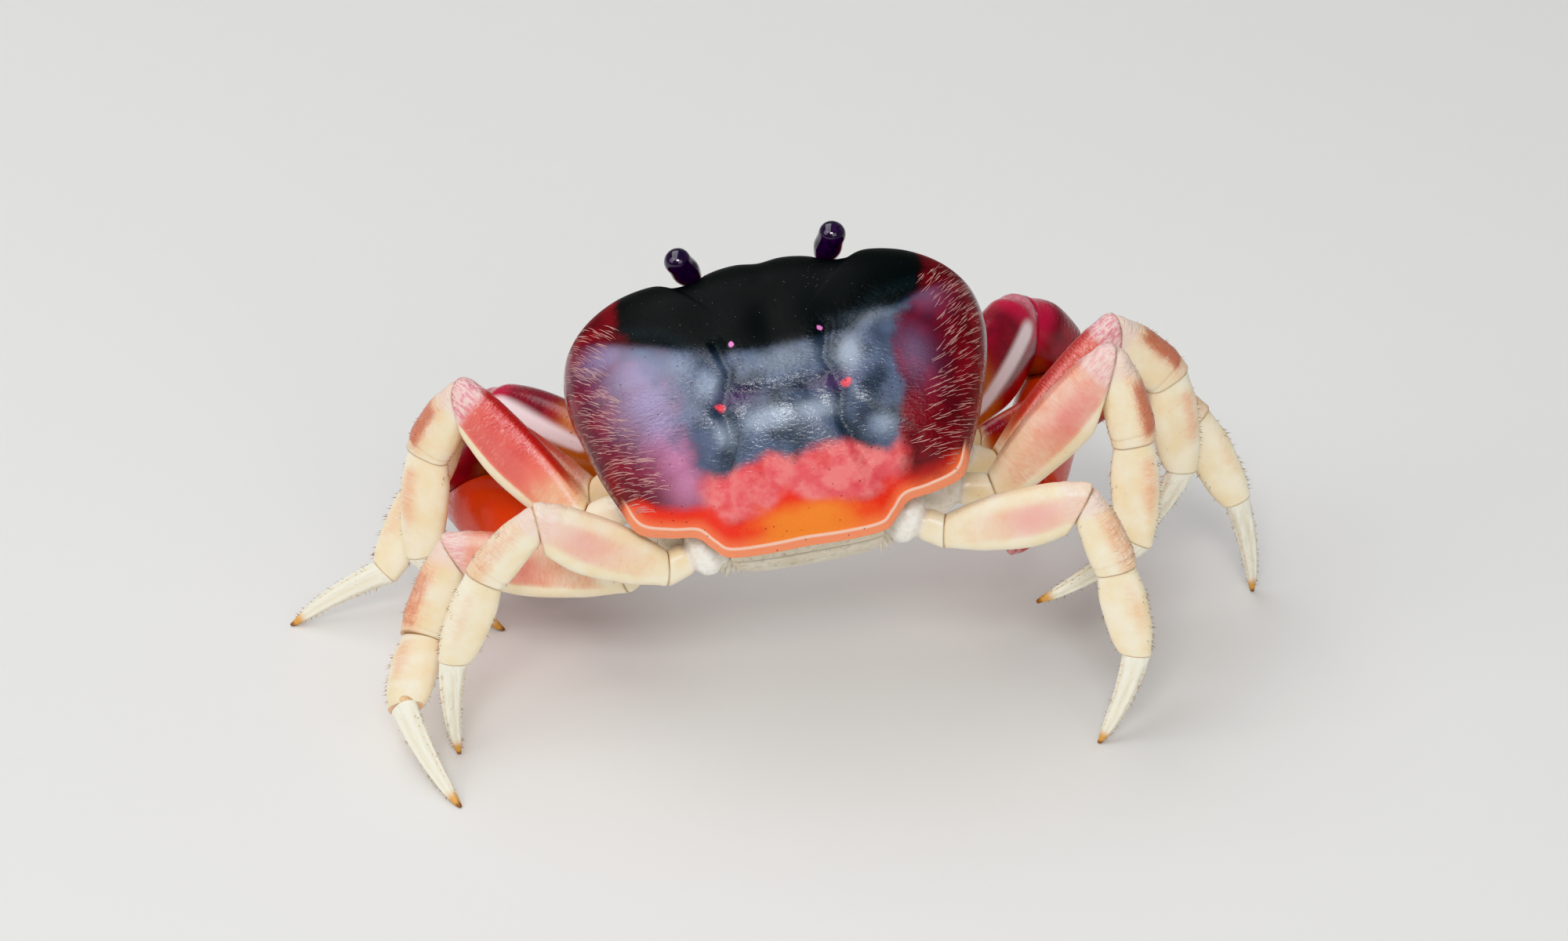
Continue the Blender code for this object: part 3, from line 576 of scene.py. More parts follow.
def closed_shape(rings, marks, start=None, end=None):
    """A shape of rings of points (rows, columns, 3), closed by a point at each end.

    The marks come as grids (rows, columns). Where none is the skin's place, the points are.
    """
    start = rings[0].mean(0) if start is None else start
    end = rings[-1].mean(0) if end is None else end
    points = np.concatenate([rings.reshape(-1, 3), [start, end]])
    rows = {key: value.reshape(-1, *value.shape[2:]) for key, value in marks.items()}
    marks = {key: np.concatenate([value, value[:1], value[-1:]]) for key, value in rows.items()}
    return points, tube_faces(*rings.shape[:2]), {"skin": points, **marks}


def joined(shapes):
    """One shape of several, with the marks that the first has."""
    points = np.concatenate([shape[0] for shape in shapes])
    faces = []
    first = 0
    for shape in shapes:
        faces += [tuple(corner + first for corner in face) for face in shape[1]]
        first += len(shape[0])
    return points, faces, {key: np.concatenate([shape[2][key] for shape in shapes]) for key in shapes[0][2]}


class Value:
    """A socket of a paint's nodes, which can be added, taken away, multiplied and eased."""

    def __init__(self, paint, socket):
        self.paint = paint
        self.socket = socket

    def __add__(self, other):
        return self.paint.math("ADD", self, other)

    def __sub__(self, other):
        return self.paint.math("SUBTRACT", self, other)

    def __rsub__(self, other):
        return self.paint.math("SUBTRACT", other, self)

    def __mul__(self, other):
        return self.paint.math("MULTIPLY", self, other)

    def ease(self, low, high):
        """0 at low and 1 at high, which may be the smaller."""
        sockets = {"Value": self, "From Min": min(low, high), "From Max": max(low, high)}
        rising = self.paint.node("ShaderNodeMapRange", sockets, 0, interpolation_type="SMOOTHSTEP")
        return rising if low < high else 1.0 - rising


class Paint:
    """Builds one material's nodes: colours laid over each other, and bumps one on another."""

    def __init__(self, name, roughness=0.4, coat=0.0, coat_roughness=0.1):
        self.material = bpy.data.materials.new(name)
        self.material.use_nodes = True
        self.tree = self.material.node_tree
        self.shader = self.tree.nodes["Principled BSDF"]
        self.colour = None
        self.normal = None
        self.set("Roughness", roughness)
        self.set("Coat Weight", coat)
        self.set("Coat Roughness", coat_roughness)

    def plug(self, socket, value):
        """Links a Value to a socket, or sets the socket to a number or colour."""
        if isinstance(value, Value):
            self.tree.links.new(value.socket, socket)
        else:
            socket.default_value = value

    def set(self, name, value):
        """Plugs a value into the shader itself."""
        self.plug(self.shader.inputs[name], value)

    def node(self, kind, inputs, output, **settings):
        """One output of a new node."""
        made = self.tree.nodes.new(kind)
        for key, value in settings.items():
            setattr(made, key, value)
        for key, value in inputs.items():
            self.plug(made.inputs[key], value)
        return Value(self, made.outputs[output])

    def mark(self, name):
        return self.node("ShaderNodeAttribute", {}, "Fac", attribute_name=name)

    def place(self, stretch=(1.0, 1.0, 1.0), name="skin"):
        """A vector mark, in millimetres, stretched for a texture."""
        found = self.node("ShaderNodeAttribute", {}, "Vector", attribute_name=name)
        return self.node("ShaderNodeVectorMath", {0: found, 1: stretch}, 0, operation="MULTIPLY")

    def math(self, operation, a, b):
        return self.node("ShaderNodeMath", {0: a, 1: b}, 0, operation=operation)

    def noise(self, place, scale, detail=3.0, roughness=0.5, distortion=0.0):
        sockets = {"Vector": place, "Scale": scale, "Detail": detail, "Roughness": roughness}
        return self.node("ShaderNodeTexNoise", {**sockets, "Distortion": distortion}, "Fac")

    def specks(self, place, scale, low, high):
        """Small round dots, 0 at low and 1 at high from their middles."""
        distance = self.node("ShaderNodeTexVoronoi", {"Vector": place, "Scale": scale}, "Distance")
        return distance.ease(low, high)

    def mix(self, a, b, share):
        """A share of the way from one colour to another, each a Value or screen values of 0 to 255."""
        a, b = (c if isinstance(c, Value) else (*linear(c), 1.0) for c in (a, b))
        return self.node("ShaderNodeMix", {0: share, 6: a, 7: b}, 2, data_type="RGBA")

    def lay(self, colour, share=None):
        """Lays a colour over what is there by a share, or as the first one."""
        self.colour = colour if share is None else self.mix(self.colour, colour, share)

    def bump(self, height, strength, distance):
        """Adds relief to the bumps that are there, its depth in millimetres."""
        sockets = {"Height": height, "Strength": strength, "Distance": distance * MM}
        if self.normal is not None:
            sockets["Normal"] = self.normal
        self.normal = self.node("ShaderNodeBump", sockets, "Normal")

    def finish(self, roughness=None):
        """The material, with its colour, bumps and, if given, roughness plugged in."""
        self.set("Base Color", self.colour)
        if self.normal is not None:
            self.set("Normal", self.normal)
            if self.shader.inputs["Coat Weight"].default_value > 0.0:
                self.set("Coat Normal", self.normal)
        if roughness is not None:
            self.set("Roughness", roughness)
        return self.material


def linear(colour):
    """Screen values of 0 to 255 as the linear ones that a shader takes."""
    shares = [value / 255.0 for value in colour]
    return [s / 12.92 if s <= 0.04045 else ((s + 0.055) / 1.055) ** 2.4 for s in shares]


def shell_paint():
    p = Paint("shell_enamel", roughness=0.22, coat=0.5)
    mark = p.mark
    body = p.place(name="body")
    rim = mark("rim")
    blot = p.noise(body, 0.32)
    fine = p.noise(body, 2.4, 3.0, 0.6)
    edge = (blot - 0.5) * 2.4 + (fine - 0.5) * 0.7
    uneven = (blot - 0.5) * 0.5
    p.lay(p.mix((122, 16, 26), (84, 10, 18), blot.ease(0.3, 0.7)))
    p.lay((196, 16, 28), mark("flame") * 0.85)
    # Partly the shell's own colour and partly painted reflection: pale mauve over the flanks in the mauve
    # spots.
    p.lay(p.mix((150, 140, 178), (198, 132, 168), mark("low")), mark("mauve") * 0.9)
    rose = p.mix((226, 92, 98), (240, 130, 128), p.noise(body, 0.5, 2.0).ease(0.35, 0.65))
    rose = p.mix(rose, (216, 62, 62), blot.ease(0.52, 0.7) * 0.6)
    p.lay(rose, (mark("coral") + edge).ease(-1.2, 1.4))
    ember = p.mix((238, 48, 24), (255, 118, 70), mark("aft") * rim.ease(1.9, 0.7))
    p.lay(ember, (mark("fire") + uneven).ease(0.22, 0.8))
    p.lay((255, 136, 28), (mark("gold") + uneven).ease(0.25, 0.95))
    slate = (mark("slate") + edge).ease(-0.8, 0.8)
    # Partly the shell's own colour and partly painted reflection: behind the near-black front the slate turns
    # blue-grey, as a dark gloss does where it mirrors the sky.
    slate_blue_and_sheen = p.mix((58, 66, 78), (90, 101, 124), p.noise(body, 0.3, 1.0).ease(0.3, 0.7))
    stone = p.mix((13, 15, 14), slate_blue_and_sheen, (mark("rear") + edge * 0.12).ease(0.2, 0.85))
    # Painted highlight: in the sheen spots the slate is lightened toward a pale blue-white.
    painted_sheen = (mark("painted_sheen") + (fine - 0.5) * 0.3).ease(0.05, 1.1)
    stone = p.mix(stone, (170, 182, 200), painted_sheen * 0.8)
    # Painted shade: along the furrows the slate is mixed toward a dark grey-green.
    p.lay(p.mix(stone, (26, 36, 40), mark("furrow") * 0.4), slate)
    # Partly the shell's own colour and partly painted reflection: a blue-grey haze over the slate where the
    # mauve spots reach it.
    p.lay((118, 126, 158), mark("mauve") * slate * 0.75)
    p.lay((92, 62, 104), mark("violet") * 0.75)
    p.lay((232, 140, 206), (mark("pink_dot") + (fine - 0.5) * 0.5).ease(0.35, 0.75))
    p.lay((240, 84, 96), (mark("red_dot") + (fine - 0.5) * 1.3).ease(0.4, 0.9))
    p.lay((246, 146, 104), mark("aft") * rim.ease(0.85, 0.55))
    p.lay((255, 214, 192), mark("aft") * rim.ease(0.42, 0.54) * rim.ease(0.8, 0.64) * 0.85)
    front_line = rim.ease(0.32, 0.1) * rim.ease(-0.35, -0.1) * (1.0 - mark("aft"))
    p.lay((150, 112, 104), front_line * fine.ease(0.35, 0.65))
    p.lay(p.mix((176, 96, 74), (214, 172, 140), blot.ease(0.35, 0.65)), rim.ease(-0.3, -1.0))
    # Painted highlight: the oblique ridges are pale pink all over, for the light they catch on their tops.
    p.lay((222, 178, 170), mark("stria_painted_highlight") * 0.7)
    pits = p.specks(body, 1.0, 0.13, 0.06) * mark("rear").ease(-0.1, 0.35)
    pits = pits * p.noise(body, 0.7, 1.0).ease(0.4, 0.55)
    p.lay((84, 18, 30), pits * 0.8)
    p.lay((176, 172, 172), p.specks(body, 1.5, 0.07, 0.045) * mark("rear").ease(0.85, 0.4) * 0.7)
    crinkle = p.noise(p.place((1.0, 1.9, 1.0), "body"), 1.5, 2.0, 0.55, 0.4)
    p.bump(crinkle * mark("crinkle"), 0.7, 0.26)
    p.bump(p.noise(body, 5.0, 3.0, 0.6), 0.16, 0.05)
    p.bump(1.0 - pits, 0.7, 0.08)
    p.set("Coat Weight", mark("rear") * 0.65)
    p.set("Specular IOR Level", 0.28)
    return p.finish(fine * 0.12 + (0.42 - mark("rear") * 0.2))


def leg_paint():
    p = Paint("leg_enamel", roughness=0.35, coat=0.45, coat_roughness=0.2)
    mark = p.mark
    skin = p.place()
    blot = p.noise(skin, 0.3)
    fine = p.noise(skin, 1.5, 3.0, 0.6)
    streak = p.noise(p.place((1.0, 3.6, 3.6)), 0.9, 3.0, 0.55)
    soft = (blot - 0.5) * 0.45
    ripple = (p.noise(p.place((2.6, 0.7, 0.7)), 1.2, 2.0, 0.5, 0.5) - 0.5) * mark("peach")
    coral = mark("coral") + soft
    p.lay(p.mix((255, 243, 218), (250, 230, 190), blot.ease(0.3, 0.7)))
    p.lay((240, 178, 140), (mark("peach") + soft + ripple).ease(0.1, 1.15))
    p.lay((234, 118, 102), coral.ease(0.1, 0.65) * 0.95)
    p.lay((204, 64, 66), coral.ease(0.5, 1.25) * 0.95)
    p.lay((232, 134, 142), mark("mauve") * 0.8)
    p.lay(p.mix((150, 28, 46), (186, 84, 52), blot.ease(0.35, 0.65)), mark("crimson"))
    p.lay((202, 98, 64), mark("rust") * (streak + mark("rust") * 0.5).ease(0.45, 0.95) * 0.85)
    folds = p.noise(p.place((3.0, 0.8, 0.8)), 1.3, 2.0, 0.5, 0.6).ease(0.56, 0.68)
    p.lay((250, 190, 176), folds * mark("rough") * mark("flush") * 0.5)
    pearl = p.mix((246, 222, 216), (226, 152, 166), streak.ease(0.42, 0.62) * mark("flush"))
    p.lay(pearl, mark("pearl"))
    p.lay((176, 34, 34), mark("granule"))
    p.lay(p.mix((255, 252, 244), (240, 234, 220), fine.ease(0.4, 0.7)), mark("bone"))
    specks = p.specks(skin, 1.0, 0.11, 0.05) * blot.ease(0.44, 0.6)
    p.lay((98, 66, 44), specks * (mark("bone") * 0.5 + 0.35))
    line = p.mix((168, 118, 72), (222, 128, 48), mark("tick").ease(0.2, 0.8))
    p.lay(line, mark("crease") * 0.5)
    wrinkle = p.noise(p.place((2.6, 0.9, 0.9)), 1.3, 2.0, 0.55, 0.5)
    p.bump(wrinkle * mark("rough"), 1.0, 0.3)
    p.bump(fine, 0.25, 0.07)
    p.set("Subsurface Weight", 0.15)
    p.set("Subsurface Radius", (0.0012, 0.0006, 0.0004))
    p.set("Subsurface Scale", 1.0)
    return p.finish(fine * 0.2 + 0.22)


def dactyl_paint():
    p = Paint("dactyl_horn", roughness=0.42, coat=0.2, coat_roughness=0.3)
    skin = p.place()
    streak = p.noise(p.place((0.5, 3.0, 3.0)), 1.0, 3.0, 0.6)
    p.lay(p.mix((250, 246, 230), (234, 230, 212), streak.ease(0.35, 0.7)))
    p.lay((214, 198, 162), p.mark("groove") * 0.4)
    p.lay((120, 96, 72), p.specks(skin, 1.3, 0.12, 0.06) * 0.55)
    p.lay((216, 160, 84), p.mark("tip").ease(0.1, 0.75))
    p.lay((132, 78, 36), p.mark("tip").ease(0.85, 1.0))
    p.bump(streak, 0.2, 0.06)
    p.bump(p.noise(skin, 2.0, 3.0, 0.6), 0.25, 0.06)
    return p.finish()


def claw_paint():
    p = Paint("claw_enamel", roughness=0.3, coat=0.35, coat_roughness=0.15)
    mark = p.mark
    skin = p.place()
    blot = p.noise(skin, 0.3)
    fine = p.noise(skin, 1.5, 3.0, 0.6)
    soft = (blot - 0.5) * 0.5
    p.lay(p.mix((152, 26, 44), (116, 22, 38), blot.ease(0.3, 0.7)))
    p.lay((196, 36, 70), (mark("rose") + soft).ease(0.3, 1.0))
    p.lay((216, 62, 32), (mark("ember") + soft).ease(0.2, 0.9))
    p.lay((198, 112, 60), (mark("tan") + soft).ease(0.2, 0.95))
    p.lay((252, 234, 236), mark("stripe").ease(0.2, 0.85))
    p.lay((232, 206, 216), mark("pearl") * fine.ease(0.2, 0.6))
    p.lay((222, 212, 186), mark("bone"))
    p.lay((84, 34, 24), p.specks(skin, 0.7, 0.12, 0.06) * mark("tan") * 0.8)
    p.lay((110, 40, 36), mark("crease") * 0.6)
    wrinkle = p.noise(p.place((2.4, 0.9, 0.9)), 1.2, 2.0, 0.55, 0.5)
    p.bump(wrinkle * mark("rough"), 0.8, 0.22)
    p.bump(fine, 0.2, 0.05)
    return p.finish(fine * 0.15 + 0.18)


def under_paint():
    p = Paint("under_enamel", roughness=0.45, coat=0.25, coat_roughness=0.25)
    skin = p.place()
    fine = p.noise(skin, 1.5, 4.0, 0.6)
    p.lay(p.mix((238, 230, 212), (222, 210, 184), p.noise(skin, 0.3, 4.0, 0.6).ease(0.3, 0.7)))
    p.lay((150, 140, 124), fine.ease(0.5, 0.75) * 0.45)
    p.lay((206, 132, 92), p.mark("flush") * 0.8)
    p.lay((84, 66, 48), p.mark("crease") * 0.85)
    p.lay((96, 70, 50), p.specks(skin, 0.9, 0.12, 0.06) * 0.5)
    p.bump(fine, 0.35, 0.16)
    return p.finish(fine * 0.2 + 0.3)


def cuff_paint():
    p = Paint("joint_skin", roughness=0.45, coat=0.2)
    fine = p.noise(p.place(), 1.6, 3.0, 0.6)
    p.lay(p.mix((236, 208, 164), (206, 160, 116), fine.ease(0.3, 0.7)))
    p.bump(fine, 0.4, 0.2)
    return p.finish()


def bristle_paint():
    p = Paint("bristle_horn", roughness=0.5)
    p.lay(p.mix((96, 62, 36), (196, 158, 104), p.mark("tip").ease(0.2, 1.0)))
    return p.finish()


def eye_paint():
    p = Paint("eye_glass", roughness=0.12, coat=0.9, coat_roughness=0.04)
    fine = p.noise(p.place(), 1.6, 3.0, 0.6)
    p.lay(p.mix((92, 62, 98), (150, 112, 140), fine.ease(0.3, 0.7)))
    p.lay(p.mix((26, 14, 38), (52, 26, 66), fine.ease(0.35, 0.75)), p.mark("along").ease(0.5, 0.62))
    return p.finish()


def feeler_paint():
    p = Paint("feeler_skin", roughness=0.45, coat=0.2)
    fine = p.noise(p.place(), 2.0, 3.0, 0.6)
    p.lay(p.mix((150, 84, 66), (206, 150, 120), fine.ease(0.3, 0.7)))
    p.bump(fine, 0.3, 0.1)
    return p.finish()


def floor_paint():
    p = Paint("floor_paper", roughness=0.75)
    p.set("Base Color", FLOOR_COLOUR)
    return p.material


def spots(place, table):
    """A soft mask of oval spots."""
    mask = np.zeros(len(place))
    for x, y, wide, deep, strength in table:
        mask = np.maximum(mask, strength * hump(np.linalg.norm((place - (x, y)) / (wide, deep), axis=1), 1.0))
    return mask


def inside_distance(points, outline):
    """How far points are inside an outline, negative outside it."""
    corners = np.array(outline, float)
    inside = np.zeros(len(points), bool)
    nearest = np.full(len(points), np.inf)
    for a, b in zip(corners, np.roll(corners, -1, axis=0)):
        run = b - a
        part = np.clip(((points - a) @ run) / (run @ run), 0.0, 1.0)
        nearest = np.minimum(nearest, np.linalg.norm(points - a - part[:, None] * run, axis=1))
        crosses = (a[1] > points[:, 1]) != (b[1] > points[:, 1])
        level = a[0] + (points[:, 1] - a[1]) * run[0] / (run[1] if abs(run[1]) > 1e-9 else 1e-9)
        inside ^= crosses & (points[:, 0] < level)
    return np.where(inside, nearest, -nearest)


def line_distance(points, line):
    """How far points are from a line of straight runs."""
    nearest = np.full(points.shape[:-1], np.inf)
    for a, b in zip(np.array(line, float), np.array(line[1:], float)):
        run = b - a
        part = np.clip(((points - a) @ run) / (run @ run), 0.0, 1.0)
        nearest = np.minimum(nearest, np.linalg.norm(points - a - part[..., None] * run, axis=-1))
    return nearest


def margin_line(count):
    """The shell's whole margin, evenly spaced, from the notch in its front round by the right side.

    A fourth column says how far the margin is in or out of a smoothed one.
    """
    right = np.array(SHELL_MARGIN)
    left = right[-2:0:-1] * (-1.0, 1.0, 1.0)
    b = np.concatenate([right, left])
    a = np.roll(b, 1, axis=0)
    c = np.roll(b, -1, axis=0)
    d = np.roll(b, -2, axis=0)
    t = (np.arange(MARGIN_STEPS) / MARGIN_STEPS)[None, :, None]
    a, b, c, d = (p[:, None, :] for p in (a, b, c, d))
    fine = 0.5 * t * (t * (t * (3.0 * (b - c) + d - a) + 2.0 * a - 5.0 * b + 4.0 * c - d) + c - a) + b
    fine = fine.reshape(-1, 3)
    fine = np.concatenate([fine, fine[:1]])
    lengths = np.concatenate([[0.0], np.cumsum(np.linalg.norm(np.diff(fine, axis=0), axis=1))])
    goals = lengths[-1] * np.arange(count) / count
    line = np.stack([np.interp(goals, lengths, fine[:, k]) for k in range(3)], 1)
    apart = np.abs(np.arange(count)[:, None] - np.arange(count)[None, :])
    near = hump(np.minimum(apart, count - apart) * lengths[-1] / count, BROW_SMOOTHING)
    reach = np.linalg.norm(line[:, :2] - SHELL_CENTRE, axis=1)
    calm = near @ reach / near.sum(1)
    return np.column_stack([line, 1.0 + (reach / calm - 1.0) * ease(6.0, 12.0, line[:, 1])])


def relief(place):
    """The furrows and swellings of the dome at places across and forward."""
    x = place[..., 0]
    folded = np.stack([np.sqrt(x * x + 0.25) - 0.5 * hump(x, 2.0), place[..., 1]], -1)
    height = np.zeros(place.shape[:-1])
    for width, depth, line in FURROWS:
        height = np.minimum(height, -depth * hump(line_distance(folded, line), width))
    for x, y, reach, rise in SWELLINGS:
        height = height + rise * hump(np.linalg.norm(folded - (x, y), axis=-1), reach)
    return height


def dome_drop(share, way):
    """How much of the height down to its margin the dome has lost, a share of the way out."""
    base, per_forward, per_sideways = SWELL_SHARES
    forward = np.clip(base + per_forward * way[..., 1] + per_sideways * np.abs(way[..., 0]), 0.0, 1.0)
    power, root = FRONT_SWELL
    front = 1.0 - (1.0 - share**power) ** (1.0 / root)
    return share**REAR_SWELL * (1.0 - forward) + front * forward


def dome(margin, share):
    """Points of the dome, a share of the way out to points of the margin."""
    middle = np.array(SHELL_CENTRE)
    ray = margin[..., :2] - middle
    place = middle + ray * share[..., None]
    calm = margin[..., 3]
    even = share * (calm + (1.0 - calm) * share**8)
    height = margin[..., 2] * dome_drop(even, unit(ray)) + relief(place) * (1.0 - share**5)
    return np.concatenate([place, height[..., None]], -1)


def on_dome(place, margin):
    """Points of the dome above places across and forward, how far in they are, and which way is out."""
    middle = np.array(SHELL_CENTRE)
    turn = np.unwrap(np.arctan2(margin[:, 0] - middle[0], margin[:, 1] - middle[1]))

    def points_above(spot):
        ray = spot - middle
        way = np.arctan2(ray[:, 0], ray[:, 1]) % (2.0 * np.pi)
        edge = np.stack([np.interp(way, turn, margin[:, k], period=2.0 * np.pi) for k in range(4)], 1)
        reach = np.linalg.norm(edge[:, :2] - middle, axis=1)
        share = np.clip(np.linalg.norm(ray, axis=1) / reach, 0.0, 1.0)
        return dome(edge, share), reach * (1.0 - share)

    step = 0.04
    here, rim = points_above(place)
    right, _ = points_above(place + (step, 0.0))
    ahead, _ = points_above(place + (0.0, step))
    return here, rim, unit(np.cross(right - here, ahead - here))


def ridges(centres, outward, widths, heights):
    """Low rounded ridges along many short lines: points and faces. Each line's points are in one row."""
    count, length, _ = centres.shape
    run = np.gradient(centres, axis=1)
    side = unit(np.cross(run, outward))
    share = (np.arange(length) + 0.5) / length
    taper = np.sqrt(1.0 - (2.0 * share - 1.0) ** 2)[None, :, None, None]
    angle = angles(RIDGE_SIDES)[None, None, :, None]
    across = side[:, :, None] * (np.cos(angle) * widths[:, None, None, None] * 0.5)
    up = outward[:, :, None] * (np.sin(angle) * heights[:, None, None, None])
    rings = centres[:, :, None] + (across + up) * taper
    ends = centres[:, :1] - 0.5 * run[:, :1], centres[:, -1:] + 0.5 * run[:, -1:]
    points = np.concatenate([rings.reshape(count, -1, 3), *ends], 1)
    return points.reshape(-1, 3), repeated(tube_faces(length, RIDGE_SIDES), points.shape[1], count)


def striae(margin):
    """The fine oblique ridges along the shell's sides."""
    x, y = margin[:, 0], margin[:, 1]
    rear, front = STRIA_ENDS
    columns = np.nonzero((np.abs(x) > STRIA_INNERMOST) & (y > rear) & (y < front))[0]
    chosen = margin[rng.choice(columns, STRIA_COUNT)]
    depth = STRIA_MARGIN + STRIA_BAND * rng.random(STRIA_COUNT) ** 1.25
    inward = unit(np.array(SHELL_CENTRE) - chosen[:, :2])
    side = np.sign(chosen[:, 0])
    foot = chosen[:, :2] + inward * depth[:, None]
    first, last = STRIA_SLOPES
    slope = first + (last - first) * ease(-12.0, 9.0, foot[:, 1])
    slope = np.radians(slope + rng.normal(0.0, STRIA_SLOPE_SPREAD, STRIA_COUNT))
    way = np.stack([side * np.cos(slope), np.sin(slope)], 1)[:, None]
    normal = np.stack([-way[..., 1], way[..., 0]], -1)
    length = rng.uniform(0.35, 1.0, STRIA_COUNT) ** 1.5 * STRIA_LENGTH
    along = np.linspace(-0.5, 0.5, STRIA_POINTS)[None, :, None]
    bow = 0.12 * (along**2 - 0.25)
    place = foot[:, None] + length[:, None, None] * (along * way + bow * normal)
    centres, rim, outward = on_dome(place.reshape(-1, 2), margin)
    keep = rim.reshape(STRIA_COUNT, -1).min(1) > 0.2
    centres = centres.reshape(STRIA_COUNT, -1, 3)[keep]
    outward = outward.reshape(STRIA_COUNT, -1, 3)[keep]
    widths = rng.uniform(*STRIA_WIDTHS, STRIA_COUNT)[keep]
    points, faces = ridges(centres, outward, widths, 0.45 * widths)
    marks = shell_marks(points, np.full(len(points), 3.0))
    # The ridges get a painted highlight from the shell's paint.
    marks["stria_painted_highlight"] = np.ones(len(points))
    return points, faces, marks


def orbit(points):
    """Presses the wall in round each eye, to the far side of an egg-shaped socket."""
    for side in SIDES.values():
        centre = np.array(SOCKET_CENTRE) * (side, 1.0, 1.0)
        radii = np.array(SOCKET_RADII)
        q = (points - centre) / radii
        inward = np.array(SOCKET_WAY) * (side, 1.0, 1.0) / radii
        a = inward @ inward
        b = q @ inward
        c = (q * q).sum(-1) - 1.0
        reach = (-b + np.sqrt(np.maximum(b * b - a * c, 0.0))) / a
        shift = np.where(c < 0.0, reach, 0.0)
        points = points + shift[..., None] * (inward * radii)
    return points


def wall(margin):
    """The shell's side walls, turned in under its margin, with a brow between the eyes."""
    down = np.linspace(0.0, 1.0, WALL_ROWS + 1)[1:] ** WALL_CROWDING
    ray = unit(margin[:, :2] - np.array(SHELL_CENTRE))
    tables = np.array(SHELL_WALL), np.array(BROW_WALL)
    inset, brow_inset = (np.interp(down, table[:, 1], table[:, 0])[:, None] for table in tables)
    brow = ease(*BROW_HALF_WIDTH[::-1], np.abs(margin[:, 0])) * (margin[:, 1] > 10.0)
    amount = inset * (1.0 - brow) + brow_inset * brow
    place = margin[None, :, :2] - ray[None] * amount[..., None]
    level = margin[None, :, 2] + (SHELL_FLOOR - margin[None, :, 2]) * down[:, None]
    return orbit(np.concatenate([place, level[..., None]], -1))


def hind_edge(x, y):
    """1 along the shell's hind edge and 0 elsewhere."""
    return ease(-9.5, -12.0, y) * ease(21.8, 20.0, np.abs(x))


def shell_marks(points, rim):
    """The masks that the shell's colours follow, at points of the body's frame."""
    place = points[:, :2]
    x, y = place.T
    folded = np.stack([np.abs(x), y], -1)
    furrow = np.min([line_distance(folded, line) for _, _, line in FURROWS[:3]], axis=0)
    centre = ease(-13.2, -16.2, y) * hump(x - 0.8, 8.0)
    tongue = hump(x + 1.2, 1.8) * ease(-11.0, -14.6, y) * 0.6
    band = ease(-9.2, -12.4, y) * ease(4.4, 0.8, rim) * (1.0 - 0.4 * ease(8.0, 15.0, x))
    height = y - HORIZON_BOW * x * x
    softness = 1.0 + 2.0 * ease(-7.0, -12.0, x) * ease(5.0, 2.5, height) * ease(-9.5, -6.5, y)
    crinkle = 0.05 + 0.95 * hump(furrow, 2.4) * ease(0.5, 3.0, rim) * ease(14.0, 6.0, y)
    return {
        "body": points,
        "rim": rim,
        "slate": inside_distance(place, SLATE_OUTLINE) / softness,
        "coral": inside_distance(place, CORAL_OUTLINE),
        "aft": hind_edge(x, y),
        "fire": np.clip(band + tongue + 0.5 * centre, 0.0, 1.0),
        "gold": centre,
        "flame": ease(0.0, -7.0, y) * ease(10.5, 3.0, rim),
        # Behind the near-black front, where the slate is blue-grey, partly as a painted reflection.
        "rear": ease(4.3, 0.9, height),
        "low": ease(-3.0, -9.0, y),
        # Mauve that is partly the shell's own and partly a painted reflection of the sky.
        "mauve": spots(place, MAUVE_AND_SHEEN_SPOTS) * ease(3.9, 2.4, height),
        "violet": spots(place, VIOLET_SPOTS),
        # Where the slate gets its painted highlights.
        "painted_sheen": spots(place, SLATE_SHEEN_SPOTS),
        # Where the slate gets painted shade along its furrows.
        "furrow": hump(furrow, 0.9),
        "pink_dot": sum(hump(np.linalg.norm(place - dot, axis=1), 0.42) for dot in PINK_DOTS),
        "red_dot": sum(hump(np.linalg.norm((place - dot) / (1.2, 0.9), axis=1), 0.75) for dot in RED_DOTS),
        "crinkle": np.maximum(crinkle, 0.5 * ease(3.5, 0.5, y)),
        "stria_painted_highlight": np.zeros(len(points)),
    }


def shell():
    """The domed shell in one skin, with its furrows, brow, side walls and eye sockets."""
    margin = margin_line(SHELL_COLUMNS)
    share = 1.0 - (1.0 - np.arange(1, SHELL_ROWS + 1) / SHELL_ROWS) ** SHELL_CROWDING
    top = dome(np.tile(margin, (SHELL_ROWS, 1, 1)), np.repeat(share[:, None], SHELL_COLUMNS, 1))
    reach = np.linalg.norm(margin[:, :2] - SHELL_CENTRE, axis=1)
    rim_top = (1.0 - share)[:, None] * reach[None, :]
    lip = HIND_LIP * hump(rim_top - HIND_LINE, 0.16) - HIND_LIP * hump(rim_top - HIND_FURROW, 0.3)
    top[..., 2] += hind_edge(top[..., 0], top[..., 1]) * lip
    rim_side = np.repeat(-np.linspace(0.05, 6.5, WALL_ROWS)[:, None], SHELL_COLUMNS, 1)
    crown = np.array((*SHELL_CENTRE, 0.0))
    crown[2] = relief(crown[:2])
    rings = np.concatenate([top, wall(margin)])
    rim = {"rim": np.concatenate([rim_top, rim_side])}
    points, faces, marks = closed_shape(rings, rim, crown, (*SHELL_CENTRE, SHELL_FLOOR))
    skin = points, faces, shell_marks(points, marks["rim"])
    body_piece("shell", joined([skin, striae(margin)]), shell_paint(), ["carapace"])


def pointing(side, turn, slope):
    """A unit vector: turn is outward from the side and positive to the front, slope is above level."""
    turn = math.radians(turn)
    slope = math.radians(slope)
    level = math.cos(slope)
    return Vector((side * level * math.cos(turn), level * math.sin(turn), math.sin(slope)))


